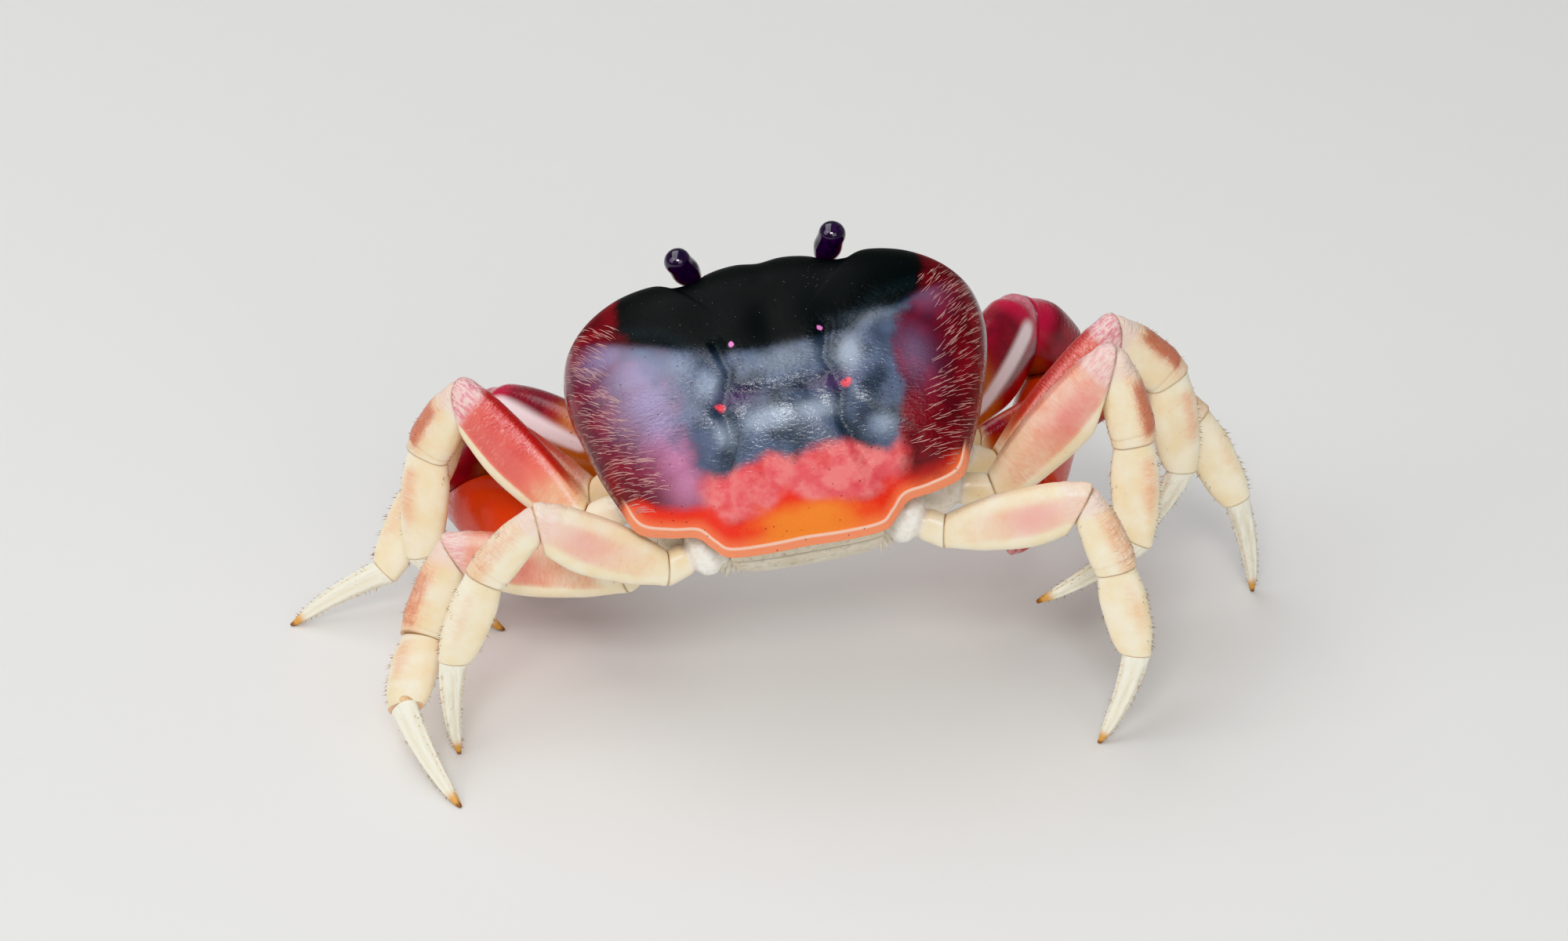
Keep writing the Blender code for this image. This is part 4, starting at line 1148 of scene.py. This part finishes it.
def limb_points(limb, side_name):
    """A limb's joints from hip to tip, and the way that its hip's facet looks."""
    side = SIDES[side_name]
    (x, y, z), turn = HIPS[limb]
    facet = BODY.to_3x3() @ pointing(side, turn, 0.0)
    points = [BODY @ Vector((side * x, y, z))]
    for length, (way, slope) in zip(LENGTHS[limb], POSE[f"{limb}_{side_name}"]):
        if slope is None:
            slope = -math.degrees(math.asin(points[-1].z / length))
        points.append(points[-1] + pointing(side, way, slope) * length)
    return points, facet


def limb_axes(points, side):
    """For each segment the outer side and the side across: the limb bends in one upright plane."""
    reach = points[2] - points[0]
    across = Vector((reach.y, -reach.x, 0.0)).normalized() * side
    axes = []
    for near, far in zip(points, points[1:]):
        way = (far - near).normalized()
        level = (across - way * across.dot(way)).normalized()
        axes.append((np.array(level.cross(way) * side), np.array(level)))
    return axes


class Tube:
    """The skin of one limb segment: rings of points, and for each its place along and round."""

    def __init__(self, start, end, axes, rows, scale=1.0, bow=0.0, caps=LIMB_CAPS, rings=RINGS):
        self.start = np.array(start)
        self.end = np.array(end)
        self.out, self.across = axes
        self.length = np.linalg.norm(self.end - self.start)
        self.way = (self.end - self.start) / self.length
        self.rows = rows
        self.scale = scale
        self.bow = bow
        first, last = (cap * scale * 0.5 * (row[1] + row[2]) for cap, row in zip(caps, (rows[0], rows[-1])))
        quarter = 0.5 * math.pi * (np.arange(CAP_RINGS) + 0.5) / CAP_RINGS
        middle = np.linspace(0.0, 1.0, rings) * self.length
        last_cap = self.length + last * np.cos(quarter[::-1])
        place = np.concatenate([-first * np.cos(quarter), middle, last_cap])
        shrink = np.concatenate([np.sin(quarter), np.ones(rings), np.sin(quarter[::-1])])
        self.place = np.repeat(place[:, None], AROUND, 1)
        self.shrink = np.repeat(shrink[:, None], AROUND, 1)
        self.angle = np.repeat(angles(AROUND)[None], len(place), 0)
        self.along = np.clip(self.place / self.length, 0.0, 1.0)
        self.grow = np.zeros_like(self.along)
        self.squeeze = np.ones_like(self.along)

    def sizes(self, along):
        """The middle's shift outward and the half sizes out and across, at places along."""
        found = smooth_rows(self.rows, np.ravel(along)) * self.scale
        outer, inner, half = (found[:, k].reshape(np.shape(along)) for k in range(3))
        shift = 0.5 * (outer - inner) + self.bow * 4.0 * along * (1.0 - along)
        return shift, 0.5 * (outer + inner), half

    def spot(self, place, x, y):
        """Points at places along the segment's line, out from it and across."""
        return self.start + place[..., None] * self.way + x[..., None] * self.out + y[..., None] * self.across

    def points(self):
        """The skin's points, grown out by the relief that was added to it."""
        shift, half_out, half_across = self.sizes(self.along)
        c, s = rounded(self.angle, LIMB_ROUNDING)
        x = c * half_out * self.shrink + np.cos(self.angle) * self.grow + shift
        y = s * half_across * self.shrink * self.squeeze + np.sin(self.angle) * self.grow
        self.skin = np.stack([self.place, x, y], -1)
        return self.spot(self.place, x, y)

    def at(self, along, angle, lift):
        """Single points on the skin, lifted from it, and the way out of it there."""
        shift, half_out, half_across = self.sizes(along)
        c, s = rounded(angle, LIMB_ROUNDING)
        steepness = np.stack([np.cos(angle) / half_out, np.sin(angle) / half_across], -1)
        normal = unit(steepness @ np.stack([self.out, self.across]))
        return self.spot(along * self.length, c * half_out + shift, s * half_across) + normal * lift, normal


def soft_cut(points, joint, normal, gap=JOINT_GAP):
    """Holds points back to one side of a plane, with a softly rounded edge."""
    beyond = (points - np.array(joint)) @ np.array(normal) + gap
    held = 0.5 * (beyond - np.sqrt(beyond**2 + JOINT_SOFTNESS**2))
    return points + (held - beyond)[..., None] * np.array(normal)


def trim(points, joints, index, facet):
    """Cuts a segment off at its two joints."""
    ways = [(b - a).normalized() for a, b in zip(joints, joints[1:])]
    if index == 0:
        points = soft_cut(points, joints[0], -facet, HIP_GAP)
    else:
        points = soft_cut(points, joints[index], -(ways[index - 1] + ways[index]).normalized())
    if index + 2 < len(joints):
        points = soft_cut(points, joints[index + 1], (ways[index] + ways[index + 1]).normalized())
    return points


def cones(feet, ways, lengths, widths, sides, rings=4, bend=0.0, blunt=1.0):
    """Many small spines or hairs in one mesh: points, faces, and how near its tip each point is."""
    feet = np.asarray(feet)
    ways = unit(np.asarray(ways))
    count = len(feet)
    lengths = np.broadcast_to(lengths, count)
    widths = np.broadcast_to(widths, count)
    helper = np.where(np.abs(ways[:, 2:3]) < 0.8, (0.0, 0.0, 1.0), (1.0, 0.0, 0.0))
    right = unit(np.cross(ways, helper))
    front = np.cross(ways, right)
    share = np.linspace(0.0, 1.0, rings + 1)[:-1]
    angle = angles(sides)[:, None]
    radius = 0.5 * widths[:, None] * (1.0 - share[None] ** blunt)
    level = (share * 1.15 - 0.15)[None] * lengths[:, None]
    lean = bend * lengths[:, None] * share[None] ** 2
    centre = feet[:, None] + ways[:, None] * level[..., None] + front[:, None] * lean[..., None]
    ring = np.cos(angle) * right[:, None, None] + np.sin(angle) * front[:, None, None]
    points = centre[:, :, None] + ring * radius[:, :, None, None]
    tips = feet + ways * lengths[:, None] + front * (bend * lengths)[:, None]
    whole = np.concatenate([points.reshape(count, -1, 3), tips[:, None]], 1).reshape(-1, 3)
    faces = grid_faces(rings, sides)
    faces += fan_faces((rings - 1) * sides, rings * sides, sides, True)
    faces.append(tuple(range(sides - 1, -1, -1)))
    tip = np.tile(np.concatenate([np.repeat(share, sides), [1.0]]), count)
    return whole, repeated(faces, rings * sides + 1, count), tip


def joint_lines(points, joints, index):
    """1 where a segment's skin meets its neighbours, fading over the width of a joint line."""
    ways = [(b - a).normalized() for a, b in zip(joints, joints[1:])]
    near = np.zeros(points.shape[:-1])
    for k in (index, index + 1):
        if 0 < k < len(ways):
            across = np.array((ways[k - 1] + ways[k]).normalized())
            near = np.maximum(near, hump((points - np.array(joints[k])) @ across, JOINT_LINE))
    return near


def skin_and_marks(tube, marks, seed):
    """A tube's points and its marks, with the place on the skin that its pattern follows."""
    points = tube.points()
    marks = {key: np.clip(value, 0.0, 1.2) for key, value in marks.items()}
    return points, {**marks, "skin": tube.skin + seed}


def leg_segment(tube, part, tints, seed):
    """Relief and colour masks of one segment of a walking leg."""
    coral, mauve, pale_edge, rust, crimson = tints
    a = tube.along
    c = np.cos(tube.angle)
    s = np.sin(tube.angle)
    zero = np.zeros_like(a)
    marks = {key: zero for key in LEG_MARKS}
    marks["tick"] = ease(0.8, 0.97, np.abs(c))
    if part == "coxa":
        marks["bone"] = ease(0.62, 0.52, a)
        marks["crease"] = 0.5 * hump((a - 0.53) * tube.length, 0.3)
        marks["tick"] = zero
    elif part == "merus":
        strong = min(1.0, coral)
        ridge = ease(0.1, 0.4, a) * ease(0.98, 0.86, a)
        face = ease(-0.5, -0.25, c) * (1.0 - pale_edge * ease(0.45, 0.85, c))
        marks["peach"] = face * ease(0.0, 0.2, a) * min(1.0, 0.15 + 1.4 * coral)
        marks["coral"] = coral * face * ease(0.08, 0.6, a) * (1.0 - 0.25 * ease(0.3, 1.0, np.abs(s)))
        marks["mauve"] = mauve * face * hump(a - 0.66, 0.3) * hump(c - 0.2, 0.8)
        marks["crimson"] = crimson * ease(0.0, 0.1, a)
        marks["pearl"] = ease(0.86, 0.94, a) * (0.85 - 0.5 * pale_edge) * (1.0 - crimson)
        marks["flush"] = zero + min(1.0, coral + 0.3)
        marks["granule"] = 0.9 * strong * ease(0.94, 0.985, c) * ease(0.1, 0.3, a) * ease(0.97, 0.9, a)
        marks["rough"] = 0.25 * ease(0.4, 1.0, c) + 0.6 * strong * face * ease(0.35, 0.85, a)
        tube.squeeze = 1.0 - 0.08 * hump(c + 0.1, 0.5) * hump(a - 0.45, 0.35)
        tube.grow = tube.grow + 0.16 * hump(c - 1.0, 0.1) * ridge
        tube.grow = tube.grow - 0.1 * hump((a - 0.87) * tube.length, 0.5) * ease(0.2, 0.8, c)
    elif part == "carpus":
        marks["rust"] = rust * ease(0.1, 0.6, c) * ease(0.08, 0.35, a) * ease(0.97, 0.84, a)
        marks["peach"] = ease(-0.3, 0.5, c) * 0.55
        marks["pearl"] = ease(0.2, 0.06, a) * 0.6
        marks["rough"] = 0.2 + ease(0.0, 0.7, c) * 0.9
        marks["crease"] = 0.35 * hump((a - 0.86) * tube.length, 0.16)
        tube.grow = tube.grow - 0.06 * hump((a - 0.86) * tube.length, 0.2)
        tube.squeeze = 1.0 - 0.08 * hump(c + 0.1, 0.35)
    elif part == "propodus":
        marks["peach"] = hump(c - 0.5, 0.45) * ease(0.0, 0.2, a) * ease(1.0, 0.5, a) * (0.3 + 0.42 * rust)
        marks["rough"] = 0.15 + ease(0.0, 0.9, c) * 0.45
        tube.squeeze = 1.0 - 0.1 * hump(c, 0.45) * ease(0.05, 0.25, a) * ease(0.95, 0.75, a)
    return skin_and_marks(tube, marks, seed)


def dactyl_skin(tube, seed):
    """A faintly ridged dagger, its tip horny."""
    a = tube.along
    ridge = 0.5 + 0.5 * np.cos(6.0 * tube.angle)
    shape = ease(0.02, 0.15, a) * ease(1.0, 0.8, a)
    _, half_out, _ = tube.sizes(a)
    tube.grow = tube.grow + half_out * shape * (0.09 * ridge**2 - 0.05)
    return skin_and_marks(tube, {"groove": (1.0 - ridge) ** 3 * shape, "tip": ease(0.76, 1.02, a)}, seed)


def on_floor(points):
    """Points with those under the floor brought up to it."""
    points[..., 2] = np.maximum(points[..., 2], 0.0)
    return points


def dactyl_spines(tube, seed):
    """Rows of small horny spines leaning to the tip."""
    along = np.linspace(0.14, 0.88, SPINES_IN_ROW)
    feet, ways, sizes = [], [], []
    for degrees in SPINE_ROWS:
        a = np.clip(along + rng.uniform(-0.02, 0.02, SPINES_IN_ROW), 0.0, 0.95)
        foot, normal = tube.at(a, np.full(SPINES_IN_ROW, math.radians(degrees)), -ROOT_DEPTH)
        feet.append(foot)
        ways.append(normal * 0.6 + tube.way * 0.8)
        sizes.append(SPINE_LENGTH * tube.scale * (1.0 - 0.4 * a) * rng.uniform(0.8, 1.1, SPINES_IN_ROW))
    feet, ways, sizes = (np.concatenate(found) for found in (feet, ways, sizes))
    points, faces, tip = cones(feet, ways, sizes, 0.4 * sizes, sides=8, rings=6, bend=0.08, blunt=1.3)
    marks = {"skin": points + seed, "groove": np.zeros(len(points)), "tip": 0.15 + 0.6 * tip}
    return on_floor(points), faces, marks


def edge_bristles(tube, part):
    """The short hairs of one segment, along its outer and inner edges."""
    half, length = BRISTLES[part]
    count = 2 * half
    along = rng.uniform(0.1, 0.96, count)
    edge = np.where(np.arange(count) < BRISTLES_OUTSIDE * count, 0.0, math.pi)
    foot, normal = tube.at(along, edge + rng.normal(0.0, 0.3, count), -ROOT_DEPTH)
    way = normal + tube.way * rng.uniform(0.2, 0.8, count)[:, None] + rng.normal(0.0, 0.15, (count, 3))
    sizes = length * rng.uniform(0.6, 1.2, count)
    points, faces, tip = cones(foot, way, sizes, BRISTLE_WIDTH, sides=5, bend=0.1)
    return on_floor(points), faces, {"skin": points, "tip": tip}


def cuff(tube):
    """The soft skin inside a joint: an egg a little thinner than the limb there."""
    shift, half_out, half_across = (float(size) for size in tube.sizes(np.array(0.02)))
    half_length = CUFF_LENGTH * half_out
    x, y, z = np.moveaxis(globe(CUFF_ROWS, CUFF_COLUMNS), -1, 0)
    rings = tube.spot(half_length * z, CUFF_GIRTH * half_out * x + shift, CUFF_GIRTH * half_across * y)
    middle = tube.start + shift * tube.out
    return closed_shape(rings, {}, middle + half_length * tube.way, middle - half_length * tube.way)


def segment_piece(name, skin, marks, material, slot, *more):
    """One segment's skin in place of its node, with more shapes that belong to it."""
    make_piece(f"{name}_skin", joined([closed_shape(skin, marks), *more]), material, [name])


def pattern_seed():
    """Where a segment's pattern starts."""
    return rng.uniform(-PATTERN_SHIFT, PATTERN_SHIFT, 3)


def leg(limb, side_name, leg_skin, horn):
    """A walking leg: makes five pieces, and returns the soft joints between them and its short hairs."""
    joints, facet = limb_points(limb, side_name)
    axes = limb_axes(joints, SIDES[side_name])
    leg_name = f"{limb}_{side_name}"
    cuffs = []
    bristles = []
    for index, part in enumerate(SEGMENTS):
        name = f"{leg_name}_{part}"
        ends = joints[index : index + 2]
        seed = pattern_seed()
        if part == "dactyl":
            tube = Tube(*ends, axes[index], OUTLINES[part], GIRTH[limb], DACTYL_BOW, TIP_CAPS)
            points, marks = dactyl_skin(tube, seed)
            points = on_floor(trim(points, joints, index, facet))
            segment_piece(name, points, marks, horn, "leg_lower", dactyl_spines(tube, seed))
        else:
            tube = Tube(*ends, axes[index], OUTLINES[part], GIRTH[limb])
            points, marks = leg_segment(tube, part, TINTS[leg_name], seed)
            points = trim(points, joints, index, facet)
            marks["crease"] = marks["crease"] + joint_lines(points, joints, index)
            segment_piece(name, points, marks, leg_skin, "leg_lower" if part == "propodus" else "leg_upper")
        if index:
            cuffs.append(cuff(tube))
        if part in BRISTLES:
            bristles.append(edge_bristles(tube, part))
    return cuffs, bristles


def toothed(tube, places, at_angle):
    """Adds low blunt teeth along one edge."""
    edge = hump(np.cos(tube.angle - at_angle) - 1.0, 0.22)
    for number, along in enumerate(places):
        size = TOOTH_HEIGHT * (1.0 if number % 3 == 1 else 0.6)
        tube.grow = tube.grow + size * edge * hump((tube.along - along) * tube.length, 0.5)


def claw_segment(tube, part, side_name):
    """Relief and colour masks of one piece of a great claw."""
    a = tube.along
    c = np.cos(tube.angle)
    s = np.sin(tube.angle)
    zero = np.zeros_like(a)
    marks = {key: zero for key in CLAW_MARKS}
    if part == "coxa":
        marks["bone"] = ease(0.7, 0.5, a) * 0.9
        marks["tan"] = zero + 0.8
    elif part == "merus":
        low, rise = STRIPES[side_name]
        stripe = hump(c - low - rise * a, 0.24) * ease(0.1, 0.5, s)
        marks["stripe"] = stripe * ease(0.0, 0.15, a) * ease(1.0, 0.8, a)
        marks["tan"] = ease(0.62, 0.12, a)
        marks["rose"] = ease(0.6, 0.95, a) * ease(-0.4, 0.4, c)
        marks["pearl"] = ease(0.94, 1.0, a) * 0.35
        marks["rough"] = 0.3 * ease(0.5, 1.0, c)
        tube.grow = tube.grow + 0.2 * hump(c - 1.0, 0.15) * ease(0.1, 0.4, a) * ease(0.98, 0.86, a)
    elif part == "carpus":
        marks["rough"] = ease(0.0, 0.9, c) * 0.7
        marks["rose"] = ease(0.5, 0.0, a)
        marks["pearl"] = ease(0.85, 1.0, a) * 0.7
        marks["tan"] = ease(0.0, -0.9, c) * 0.5
    else:
        marks["ember"] = 0.95 + 0.25 * ease(0.4, -0.6, c)
        marks["pearl"] = ease(0.1, 0.0, a) * 0.7 + 0.7 * ease(0.86, 1.0, a)
        marks["rough"] = 0.15 + 0.35 * ease(0.3, 1.0, c)
    return skin_and_marks(tube, marks, pattern_seed())


def great_claw(side_name, claw_skin):
    """A great claw: makes four pieces and the movable finger, and returns its soft joints."""
    joints, facet = limb_points("cheliped", side_name)
    axes = limb_axes(joints, SIDES[side_name])
    name = f"cheliped_{side_name}"
    cuffs = []
    for index, part in enumerate(CLAW_SEGMENTS):
        rings = PALM_RINGS if part == "palm" else RINGS
        ends = joints[index : index + 2]
        tube = Tube(*ends, axes[index], CLAW_OUTLINES[part], caps=CLAW_CAPS, rings=rings)
        if part == "palm":
            toothed(tube, PALM_TEETH, 0.0)
        points, marks = claw_segment(tube, part, side_name)
        points = trim(points, joints, index, facet)
        marks["crease"] = joint_lines(points, joints, index)
        segment_piece(f"{name}_{part}", points, marks, claw_skin, "claw")
        if index:
            cuffs.append(cuff(tube))
    wrist, tip = (np.array(joint) for joint in joints[3:5])
    out, across = axes[3]
    knuckle = wrist + (tip - wrist) * KNUCKLE
    tip = tip + out * FINGER_GAPE
    tube = Tube(knuckle, tip, (out, across), CLAW_OUTLINES["finger"], caps=FINGER_CAPS)
    toothed(tube, FINGER_TEETH, math.pi)
    points, marks = claw_segment(tube, "finger", side_name)
    points = soft_cut(points, knuckle + tube.way * FINGER_ROOT, -tube.way, 0.0)
    marks["crease"] = np.zeros_like(tube.along)
    segment_piece(f"{name}_finger", points, marks, claw_skin, "claw")
    return cuffs


def thorax_planes():
    """The body's flat sides: the way each faces and how far it is from the middle."""
    centre = np.array(THORAX_CENTRE)
    heel = math.radians(THORAX_HEEL_SLOPE)
    slope = math.radians(THORAX_FRONT_SLOPE)
    planes = [
        ((0.0, 0.0, THORAX_TOP), (0.0, 0.0, 1.0)),
        ((0.0, 0.0, THORAX_FLOOR), (0.0, 0.0, -1.0)),
        ((0.0, THORAX_REAR, 0.0), (0.0, -1.0, 0.0)),
        ((0.0, *THORAX_HEEL), (0.0, -math.cos(heel), -math.sin(heel))),
        ((0.0, THORAX_FRONT, THORAX_TOP), (0.0, math.cos(slope), -math.sin(slope))),
    ]
    for side in SIDES.values():
        for (x, y, z), turn in HIPS.values():
            planes.append(((side * x, y, z), tuple(pointing(side, turn, 0.0))))
    normals = np.array([normal for _, normal in planes])
    reach = np.array([(np.array(point) - centre) @ np.array(normal) for point, normal in planes])
    return normals, reach


def breast(under_skin):
    """The body under the shell: rounded flat sides, and the breast's plates with lines between them."""
    way = unit(globe(BREAST_ROWS, BREAST_COLUMNS) * (1.0, 1.0, BREAST_FLATNESS))
    normals, reach = thorax_planes()
    facing = np.maximum(way @ normals.T, 0.0) / reach
    radius = (facing**THORAX_SHARPNESS).sum(-1) ** (-1.0 / THORAX_SHARPNESS)
    points = np.array(THORAX_CENTRE) + way * radius[..., None]
    folded = np.stack([np.abs(points[..., 0]), points[..., 1]], -1)
    below = ease(-19.5, -21.5, points[..., 2])
    distances = np.array([line_distance(folded, line) for line in SEAMS])
    seam = hump(distances.min(0), 0.35)
    points[..., 2] += below * (0.35 * seam + 0.3 * hump(distances[1:6].min(0), 1.2))
    shape = closed_shape(points, {"crease": seam * below, "flush": ease(6.0, 14.0, points[..., 1])})
    body_piece("breast", shape, under_skin, ["thorax"])


def tufts():
    """A few thick pale hairs at each end of the tail's hind edge."""
    spread = np.linspace(-1.0, 1.0, TUFT_HAIRS)[:, None]
    foot = np.array(TUFT_FOOT) + spread * (0.8, 0.0, 0.3)
    way = np.array((0.35, -0.35, -0.9)) + spread * (0.3, 0.1, 0.0)
    feet, ways = (np.concatenate([one * (side, 1.0, 1.0) for side in SIDES.values()]) for one in (foot, way))
    sizes = TUFT_LENGTH * rng.uniform(0.8, 1.15, 2 * TUFT_HAIRS)
    points, faces, tip = cones(feet, ways, sizes, TUFT_WIDTH, sides=10, rings=8, blunt=4.0)
    return points, faces, {"crease": 0.0 * tip, "flush": 0.0 * tip, "skin": points}


def tail(under_skin):
    """The tail's plates, each lapping over the next, folded under the body."""
    table = np.array(TAIL_ROWS)
    along = np.linspace(0.03, 0.99, PLATE_STEPS)[:, None]
    wide = 0.965 + 0.035 * ease(0.0, 0.25, along)
    deep = 0.5 * (0.62 + 0.38 * ease(0.0, 0.2, along)) * (1.0 - 0.35 * ease(0.93, 1.0, along))
    c, s = rounded(angles(TAIL_COLUMNS), PLATE_ROUNDING)
    rings = []
    for near, far in zip(table, table[1:]):
        forward, down = unit(far[:2] - near[:2])
        y, z, half, thick = (near + (far - near) * along).T[..., None]
        depth = thick * deep * s
        rings.append(np.stack([half * wide * c, y + depth * down, z - depth * forward], -1))
    rings = np.concatenate(rings)
    line = np.clip(1.0 - along / 0.12, 0.0, 1.0) + hump(along - 1.0, 0.05)
    crease = np.tile(np.clip(line, 0.0, 1.0), (len(table) - 1, TAIL_COLUMNS))
    shape = closed_shape(rings, {"crease": crease, "flush": np.tile(0.15 * np.abs(c) ** 8, (len(rings), 1))})
    body_piece("tail_plates", joined([shape, tufts()]), under_skin, ["abdomen"])


def mouth_plate(side_name, under_skin):
    """One of the two mouth plates: a long lower piece and a shorter upper one with a groove between."""
    side = SIDES[side_name]
    slope = math.radians(THORAX_FRONT_SLOPE)
    outward = np.array((0.0, math.cos(slope), -math.sin(slope)))
    down = np.array((0.0, -math.sin(slope), -math.cos(slope)))
    top = np.array((side * MOUTH_ASIDE, THORAX_FRONT, THORAX_TOP)) + outward * 1.1
    place = np.linspace(MOUTH_ROWS[0][0], MOUTH_ROWS[-1][0], MOUTH_RINGS)[:, None]
    width = smooth_rows(MOUTH_ROWS, place[:, 0])
    c, s = rounded(angles(MOUTH_COLUMNS), PLATE_ROUNDING)
    x = MOUTH_HALF_WIDTH * width * c
    groove = hump(x + side * 0.8, 0.5) * ease(5.4, 6.4, place) * ease(9.6, 8.8, place)
    deep = 0.8 * width * s - 0.3 * groove * (s > 0.0)
    points = top + place[..., None] * down + deep[..., None] * outward
    points[..., 0] += x
    crease = hump(place - 4.8, 0.3) + 0.4 * groove
    shape = closed_shape(points, {"crease": crease, "flush": 0.7 * ease(9.0, 2.0, place) + 0.0 * x})
    name = f"maxilliped_{side_name}"
    body_piece(f"{name}_plate", shape, under_skin, [name])


def spindle(base, tip, side, profile):
    """A round tapering shape in the body's frame, marked with how far along it each point is."""
    start = np.array(base) * (side, 1.0, 1.0)
    end = np.array(tip) * (side, 1.0, 1.0)
    length = np.linalg.norm(end - start)
    way = unit(end - start)
    out = unit(np.cross(way, (1.0, 0.0, 0.0)))
    across = np.cross(way, out)
    share = np.linspace(0.0, 1.0, SPINDLE_RINGS)
    radius = smooth_rows(profile, share)[:, 0]
    quarter = 0.5 * math.pi * (np.arange(SPINDLE_TIP_RINGS) + 0.5) / SPINDLE_TIP_RINGS
    place = np.concatenate([share * length, length + 0.9 * radius[-1] * np.sin(quarter)])[:, None]
    radius = np.concatenate([radius, radius[-1] * np.cos(quarter)])[:, None, None]
    angle = angles(SPINDLE_COLUMNS)[:, None]
    rings = start + place[..., None] * way + radius * (np.cos(angle) * out + np.sin(angle) * across)
    along = np.clip(place / length, 0.0, 1.1) + 0.0 * angle.T
    return closed_shape(rings, {"along": along}, start, end + 0.9 * profile[-1][1] * way)


def eyes_and_feelers():
    """Both eyes on their stalks and the two short feelers under them."""
    glass = eye_paint()
    skin = feeler_paint()
    for side_name, side in SIDES.items():
        eye = spindle(EYE_BASE, EYE_TIP, side, EYE_PROFILE)
        body_piece(f"eye_{side_name}_ball", eye, glass, [f"eye_{side_name}"])
        feeler = spindle(FEELER_BASE, FEELER_TIP, side, FEELER_PROFILE)
        body_piece(f"feeler_{side_name}", feeler, skin, [f"antenna_{side_name}"])


def aim(seen, away):
    """Turns a lamp or camera to look against a direction."""
    seen.rotation_euler = (-away).to_track_quat("-Z", "Y").to_euler()


def stage():
    """A round pale floor that sweeps up all round, soft lights and a weak sky."""
    turn = 0.5 * math.pi * np.linspace(0.0, 1.0, SWEEP_STEPS)
    sweep = FLOOR_RADIUS + SWEEP_RADIUS * np.sin(turn)
    radius = np.concatenate([FLOOR_RINGS, sweep, [FLOOR_RADIUS + SWEEP_RADIUS]])
    rise = SWEEP_RADIUS * (1.0 - np.cos(turn))
    height = np.concatenate([np.zeros(len(FLOOR_RINGS)), rise, [WALL_TOP]]) - FLOOR_DROP
    angle = angles(FLOOR_COLUMNS)
    rings = np.stack([np.outer(radius, np.cos(angle)), np.outer(radius, np.sin(angle))], -1)
    rings = np.concatenate([rings, np.repeat(height[:, None, None], FLOOR_COLUMNS, 1)], -1)
    points = np.concatenate([rings.reshape(-1, 3), [(0.0, 0.0, -FLOOR_DROP)]])
    faces = [face[::-1] for face in grid_faces(len(radius), FLOOR_COLUMNS)]
    faces += fan_faces(0, len(points) - 1, FLOOR_COLUMNS, True)
    smooth_object("floor", points, faces, floor_paint())
    for name, place, size, power in LIGHTS:
        lamp = bpy.data.lights.new(name, "AREA")
        lamp.shape = "RECTANGLE"
        lamp.size, lamp.size_y = size
        lamp.energy = power
        lit = add_object(name, lamp)
        lit.location = place
        aim(lit, Vector(place) - Vector(LIGHT_TARGET))
    world = bpy.data.worlds.new("sky")
    world.use_nodes = True
    sky = world.node_tree.nodes["Background"].inputs
    sky["Color"].default_value = SKY_COLOUR
    sky["Strength"].default_value = SKY_STRENGTH
    bpy.context.scene.world = world
    bpy.context.scene.view_settings.view_transform = "Khronos PBR Neutral"


def camera():
    """The photograph's view: from behind and above, level from side to side."""
    slope = math.radians(CAMERA_ELEVATION)
    away = Vector((0.0, -math.cos(slope), math.sin(slope)))
    lens = bpy.data.cameras.new("camera")
    lens.lens = CAMERA_LENS
    lens.sensor_width = CAMERA_SENSOR
    lens.clip_start = 0.01
    seen = add_object("camera", lens)
    seen.location = (CAMERA_TARGET + away * CAMERA_DISTANCE) * MM
    aim(seen, away)
    bpy.context.scene.camera = seen


def main():
    shell()
    under_skin = under_paint()
    breast(under_skin)
    tail(under_skin)
    for side_name in SIDES:
        mouth_plate(side_name, under_skin)
    eyes_and_feelers()
    leg_skin = leg_paint()
    horn = dactyl_paint()
    claw_skin = claw_paint()
    cuffs = []
    bristles = []
    for side_name in SIDES:
        for limb in GIRTH:
            soft_skins, hairs = leg(limb, side_name, leg_skin, horn)
            cuffs += soft_skins
            bristles += hairs
        cuffs += great_claw(side_name, claw_skin)
    make_piece("joint_skins", joined(cuffs), cuff_paint())
    make_piece("bristles", joined(bristles), bristle_paint())
    stage()
    camera()


main()
